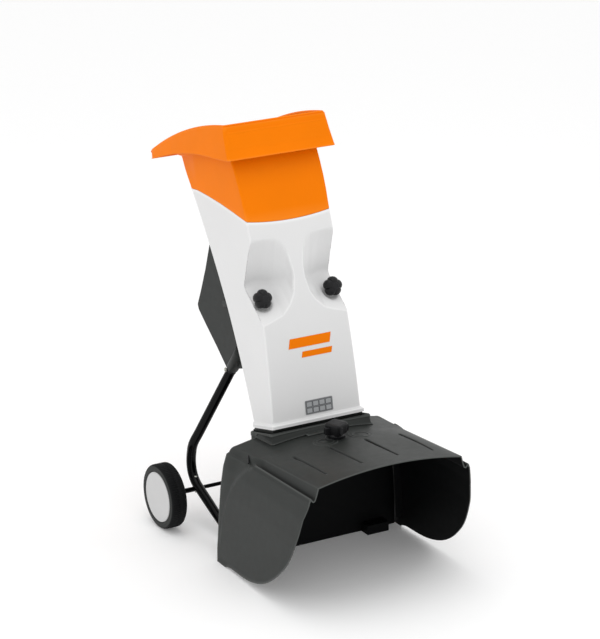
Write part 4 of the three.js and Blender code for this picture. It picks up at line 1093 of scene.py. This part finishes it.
def rear_upright():
    us = np.linspace(-318, -123.2, 14)
    rows = [[tilt(x, column_rear_v(u) + 1.8, u) for u in us]
            + [tilt(x, column_rear_v(u) + 7.8, u) for u in us[::-1]]
            for x in np.linspace(-86, 86, 5)]
    o = clean(grid("rear_upright", rows, wrap_cols=True, caps=True), 1e-6, 30)
    finish_bevelled(o, 1.5, 3, "base", "grey_plastic")
    outline = [tilt_yz(column_rear_v(u) + 6.5, u) for u in np.linspace(-318, -166, 8)]
    outline += [tilt_yz(column_rear_v(-240) + 20, -240), tilt_yz(column_rear_v(-318) + 24, -318)]
    for i, x in enumerate((-80, -27, 27, 80)):
        o = prism("upright_rib_%d" % (i + 1), outline, x - 2, x + 2)
        finish_bevelled(o, 0.8, 2, "base", "grey_plastic")


def chute():
    # chute and cheeks take the darker inside plastic, painted shade
    o = prism("chip_chute", [(44, 314.5), (60, 324.5), (132, 366.4), (132, 370), (126, 369.6),
                             (57, 329), (41, 319)], -148.6, 148.6)
    finish_bevelled(o, 0.8, 2, "base", "grey_plastic_inside_painted_shade")
    for s, side in SIDES:
        o = prism("chute_cheek_" + side, [(-14, 381), (-14, 332), (44, 315), (60, 325),
                                          (130, 366), (118, 374), (60, 376)],
                  s * 148.6, s * 144.4)
        finish_bevelled(o, 0.8, 2, "base", "grey_plastic_inside_painted_shade")


rear_upright()
chute()
# the tongue takes the darker inside plastic, painted shade
tongue = box("latch_tongue", -25, 25, -116, -9, 371, 377)
cut(tongue, box("tool", -7, 7, -140, -91, 360, 390))
finish_bevelled(tongue, 1.0, 2, "base", "grey_plastic_inside_painted_shade")

# ------------------------------------------------------------------ motor housing
# Right-hand frame tube: the knee, and the end where it enters the housing's side
TUBE_KNEE = np.array((211, 397, 243))
TUBE_END = np.array((113, 336, 478))
# Upper rear face, which carries the switch: centre (v, u) and direction of its normal
FACE_V, FACE_U = 371, 190
FACE_ANGLE = math.atan2(0.631, 0.776)
FACE_COS, FACE_SIN = math.cos(FACE_ANGLE), math.sin(FACE_ANGLE)
BUTTON_START, BUTTON_STOP = 22, -6  # places up the face
# (v, u) outlines
SHELL = [(column_rear_v(-122) + 12, -122), (338, -122), (383, -50), (431, 20), (462, 68),
         (464, 87), (425, 128), (371, 190), (310, 269), (column_rear_v(300) + 12, 302)]
SHELL += [(column_rear_v(u) + 12, u) for u in (240, 180, 120, 60, 0, -60)]
CAVITY = [(150, -118), (335, -118), (379, -50), (426.5, 21), (457.5, 69), (459.5, 86),
          (422, 125.5), (368, 187), (306, 265), (150, 298)]
VENT_V, VENT_U = 338, -122        # lower end of the vented face
VENT_RUN_V, VENT_RUN_U = 124, 190  # run of that face


def face_point(x, out, up):
    """Point on the upper rear face: out along its normal, up along the face."""
    return tilt(x, FACE_V + FACE_COS * out - FACE_SIN * up, FACE_U + FACE_SIN * out + FACE_COS * up)


def face_box(name, x0, x1, out0, out1, up0, up1):
    return clean(box(name, x0, x1, out0, out1, up0, up1, face_point), 1e-7)


def tube_end(s):
    """Place and unit direction of a frame tube's upper end."""
    mirror = np.array((s, 1, 1))
    d = (TUBE_END - TUBE_KNEE) * mirror
    return TUBE_END * mirror, d / np.linalg.norm(d)


def motor_housing():
    o = prism("housing_skin", [tilt_yz(v, u) for v, u in SHELL], -115, 115)
    mod(o, "BEVEL", width=0.007, segments=5, limit_method="ANGLE",
        angle_limit=math.radians(12), use_clamp_overlap=True)
    apply_mods(o)
    cut(o, prism("tool", [tilt_yz(v, u) for v, u in CAVITY], -111, 111))
    # nine slots across the lower rear face
    length = math.hypot(VENT_RUN_V, VENT_RUN_U)
    dv, du = VENT_RUN_V / length, VENT_RUN_U / length
    for i in range(9):
        t = 0.14 + i * 0.085
        v, u = VENT_V + VENT_RUN_V * t, VENT_U + VENT_RUN_U * t
        slot = [tilt_yz(v + dv * a + du * b, u + du * a - dv * b)
                for a, b in ((-2.6, -14), (2.6, -14), (2.6, 14), (-2.6, 14))]
        cut(o, prism("tool", slot, -78, 78))
    cut(o, face_box("tool", -34.5, 34.5, -34, 14, -40.5, 40.5))
    for s, _ in SIDES:
        end, d = tube_end(s)
        cut(o, round_tool(end - d * 60, end + d * 98, 15.4))
    clean(o, 0.00001, 28, recalc=False)
    set_material(o, "grey_plastic_shell")
    weight_normals(o)
    finish(o, "base", "grey_plastic_shell", "motor_housing")


SOCKET_PROFILE = [(15.1, 0), (15.6, 0), (15.9, 0.6), (16, 2), (16, 40), (15.7, 44), (15.1, 44)]
TUBE_BOSS_PROFILE = [(0, 17), (15, 17), (17.6, 18.4), (18.8, 21.5), (18.8, 96), (18.2, 101),
                     (16, 106), (11, 110), (0, 112)]
BOLT_PROFILE = [(0, 24.2), (3.4, 24.2), (5.2, 23.4), (5.6, 22), (5.6, 20.4), (7.6, 20.2),
                (7.6, 18.9), (2.9, 18.9), (2.9, -18), (0, -18)]


def tube_socket(s, side):
    """Socket, long boss on the shell side, shut line and clamp bolt of one frame tube."""
    end, d = tube_end(s)
    o = lathe("tube_socket_" + side, SOCKET_PROFILE, end, d, 64)
    finish(o, "base", "black_plastic")
    boss_axis = np.array([0.0, -0.616, 0.788])
    o = lathe("tube_boss_" + side, TUBE_BOSS_PROFILE, end + boss_axis * 2.0, boss_axis, 64)
    finish(o, "base", "grey_plastic_shell")
    line = [(s * 115.6, y, z) for y, z in ((345.7, 500.3), (316.9, 538.1), (288.2, 576.0))]
    finish(sweep("boss_seam_" + side, line, 1.5, 14), "base", "black_plastic")
    o = lathe("tube_clamp_bolt_" + side, BOLT_PROFILE, end + d * 10, (s * 0.97, 0.24, 0), 32)
    finish(o, "base", "zinc_plate", "tube_screw_" + side)


def switch():
    o = face_box("switch_bezel", -33.5, 33.5, -24, 1.8, -39.5, 39.5)
    for up in (BUTTON_START, BUTTON_STOP):
        cut(o, round_tool(face_point(0, -20, up), face_point(0, 20, up), 11.5))
    cut(o, face_box("tool", -15, 15, -20, 20, -37, -21))
    finish_bevelled(o, 1.6, 3, "base", "black_plastic", "switch_box")
    normal = (0, TILT_COS * FACE_COS - TILT_SIN * FACE_SIN,
              TILT_SIN * FACE_COS + TILT_COS * FACE_SIN)
    for name, up, h, material in (("start", BUTTON_START, 5, "green_plastic"),
                                  ("stop", BUTTON_STOP, 7.5, "red_plastic")):
        profile = [(0, -12), (10.9, -12), (10.9, h - 2.2), (10.3, h - 0.8), (9, h - 0.1),
                   (6, h - 0.5), (0, h - 0.8)]
        o = lathe(name + "_cap", profile, face_point(0, 0, up), normal, 56)
        finish(o, name, material, name + "_button")


motor_housing()
for s, side in SIDES:
    tube_socket(s, side)
switch()

# ------------------------------------------------------------------ frame tubes and wheels
TUBE_R, TUBE_FOOT_R = 14.9, 13.0
# (y, z) of the lower run, from the foot to below the knee
TUBE_RUN = [(20, TUBE_FOOT_Z), (85, TUBE_FOOT_Z), (112, 15), (140, 23), (247, 64), (307, 89),
            (350, 107), (382, 123), (402, 146), (410, 175), (408, 205)]
AXLE_Y, AXLE_Z = 383, 100
WHEEL_X = 294  # inner side of the wheel
TREAD_BLOCKS = 84
SLEEVE_PROFILE = [(6.3, 0), (7.4, 0), (7.8, 0.6), (7.8, 76), (7.4, 76.6), (6.3, 76.6)]
TYRE_PROFILE = [
    (77.6, 2), (84, -2.4), (90, -3.4), (94.5, -2.6), (97.4, -0.4), (99.2, 2.4), (99.8, 5),
    (100, 8), (100, 21), (98.6, 21.8), (98.6, 23.4), (100, 24.2), (100, 38.5), (99.8, 41),
    (99.2, 43.6), (97.6, 46.2), (95.4, 48.2), (92.8, 49.4), (90.4, 49.5), (89.6, 49.0),
    (88.8, 49.4), (86, 49.8), (82, 49.8), (79.8, 49.4), (78.6, 48.4), (77.9, 46.8), (77.6, 45),
]
CAP_PROFILE = [
    (0, 45.2), (74, 45.2), (77.2, 44.4), (77.4, 47.4), (76.9, 48.6), (75.8, 49.4), (74.6, 49.7),
    (73.8, 49.3), (73.0, 49.2), (72.2, 49.5), (70, 49.75), (50, 50.3), (25, 50.7), (9, 50.8),
    (0, 50.8),
]


def tube_radius(centre):
    """The lower run starts thinner and swells towards the rear."""
    if centre.z >= 0.2:
        return TUBE_R
    y = centre.y - LAYOUT_Y / 1000
    return TUBE_FOOT_R + (TUBE_R - TUBE_FOOT_R) * float(smooth_step(0.1, 0.35, y))


def frame_tube(s, side):
    path = [(TUBE_X, y, z) for y, z in TUBE_RUN]
    path += [TUBE_KNEE + (TUBE_END - TUBE_KNEE) * t * 1.34 for t in (0, 0.12, 0.5, 1)]
    path = [(s * x, y, z) for x, y, z in path]
    o = sweep("tube_skin_" + side, path, tube_radius, 40, steps=8)
    finish(o, "base", "tube_paint", "frame_tube_" + side)


def tread_shape(r, h, angles):
    """Blocks round the running surface."""
    if not (1 < h < 45 and r > 98):
        return np.full_like(angles, r)
    phase = angles * TREAD_BLOCKS / (2 * math.pi) % 1
    return r - 1.3 + 0.9 * smooth_step(0.15, 0.5, np.abs(phase - 0.5) * 2) * 1.44


def wheel(s, side):
    """Axle sleeve, tyre and cap."""
    axis = (s, 0, 0)
    o = lathe("axle_sleeve_" + side, SLEEVE_PROFILE, (s * 214.5, AXLE_Y, AXLE_Z), axis, 40)
    finish(o, "base", "tube_paint")
    inner = (s * WHEEL_X, AXLE_Y, AXLE_Z)
    tyre = lathe("tyre_skin_" + side, TYRE_PROFILE, inner, axis, 504, tread_shape, sharp=60)
    for material in ("tyre_rubber", "tyre_tread"):
        tyre.data.materials.append(MATERIALS[material])
    _, hub_y, hub_z = to_scene(inner)
    for face in tyre.data.polygons:
        if math.hypot(face.center.y - hub_y, face.center.z - hub_z) > 0.0955:
            face.material_index = 1
    body = "wheel_" + side[0]
    finish(tyre, body, "tyre_rubber", "tyre_" + side)
    cap = lathe("cap_skin_" + side, CAP_PROFILE, inner, axis, 128)
    finish(cap, body, "cap_plastic", "wheel_cap_" + side)


for s, side in SIDES:
    frame_tube(s, side)
    wheel(s, side)

# ------------------------------------------------------------------ materials of the CAD pieces
CAD_PIECES = {
    "grey_plastic_shell": "cutter_base",
    "zinc_plate": """threaded_insert_left threaded_insert_right counter_blade axle_bolt_left
        axle_bolt_right tube_screw_left tube_screw_right reversible_blade_1 reversible_blade_2
        disc_bolt""",
    "machined_steel": """power_inlet front_bearing rear_bearing support_screw_left
        support_screw_right axle_nut_left axle_nut_right captive_washer_left
        captive_washer_right clamp_bolt_left clamp_bolt_right rotor_shaft cutting_disc
        blade_screw_1 blade_screw_2 blade_screw_3 blade_screw_4 latch_cam""",
    "cast_aluminium": "motor_front_shield motor_rear_shield run_capacitor",
    "laminated_iron": "stator_core rotor_core",
    "copper_winding": "front_winding rear_winding",
    "tube_paint": "axle",
    "white_plastic": "guide_ramp",
    "black_plastic": "cooling_fan",
    "cap_plastic": "wheel_hub_left wheel_hub_right",
}
for material, names in CAD_PIECES.items():
    for name in names.split():
        set_material(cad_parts[name], material)

# ------------------------------------------------------------------ floor, lights, camera
scene = bpy.context.scene


def studio_floor():
    half = 14.0
    mesh = bpy.data.meshes.new("studio_floor")
    corners = [(-half, -half, 0), (half, -half, 0), (half, half, 0), (-half, half, 0)]
    mesh.from_pydata(corners, [], [(0, 1, 2, 3)])
    floor = bpy.data.objects.new("studio_floor", mesh)
    scene.collection.objects.link(floor)
    material, tree, shader = new_material("studio_floor")
    mottle = add_node(tree, "TexNoise", {"Scale": 0.8}).outputs["Fac"]
    set_inputs(tree, shader, {
        "Base Color": map_range(tree, mottle, 0.93, 0.95),
        "Roughness": 0.9,
        "Specular IOR Level": 0.1,
        "Emission Color": (1, 1, 1, 1),
        "Emission Strength": 0.09,
    })
    mesh.materials.append(material)


def aim(o, direction):
    o.rotation_euler = direction.to_track_quat("-Z", "Y").to_euler()


def area_light(name, location, target, size, power):
    light = bpy.data.lights.new(name, "AREA")
    light.energy = power
    light.size = size
    o = bpy.data.objects.new(name, light)
    scene.collection.objects.link(o)
    o.location = location
    aim(o, Vector(target) - Vector(location))


studio_floor()
area_light("key_top", (-0.4, -0.2, 4.2), target=(0, 0, 0.4), size=2.6, power=23)
area_light("fill_left", (-3.6, 0.2, 2.1), target=(0, 0, 0.6), size=2.2, power=8)
area_light("fill_front", (0.9, -4.0, 3.0), target=(0, 0, 0.5), size=1.6, power=3)
area_light("rim_right", (3.0, -0.6, 2.2), target=(0, 0, 0.7), size=1.4, power=9)

world = bpy.data.worlds.new("studio")
scene.world = world
world.use_nodes = True
set_inputs(world.node_tree, world.node_tree.nodes["Background"],
           {"Color": (1, 1, 1, 1), "Strength": 0.93})

lens = bpy.data.cameras.new("camera")
camera = bpy.data.objects.new("camera", lens)
scene.collection.objects.link(camera)
camera.location = (-3.81804, -6.49154 + LAYOUT_Y / 1000, 3.38063)
aim(camera, Vector((0.47204675, 0.81654846, -0.33229578)))
lens.sensor_fit = "AUTO"
lens.sensor_width = 36
lens.lens = 154.98
lens.clip_end = 60
scene.camera = camera
scene.view_settings.view_transform = "Standard"
scene.view_settings.look = "None"
scene.view_settings.exposure = 0.0

bpy.context.view_layer.update()
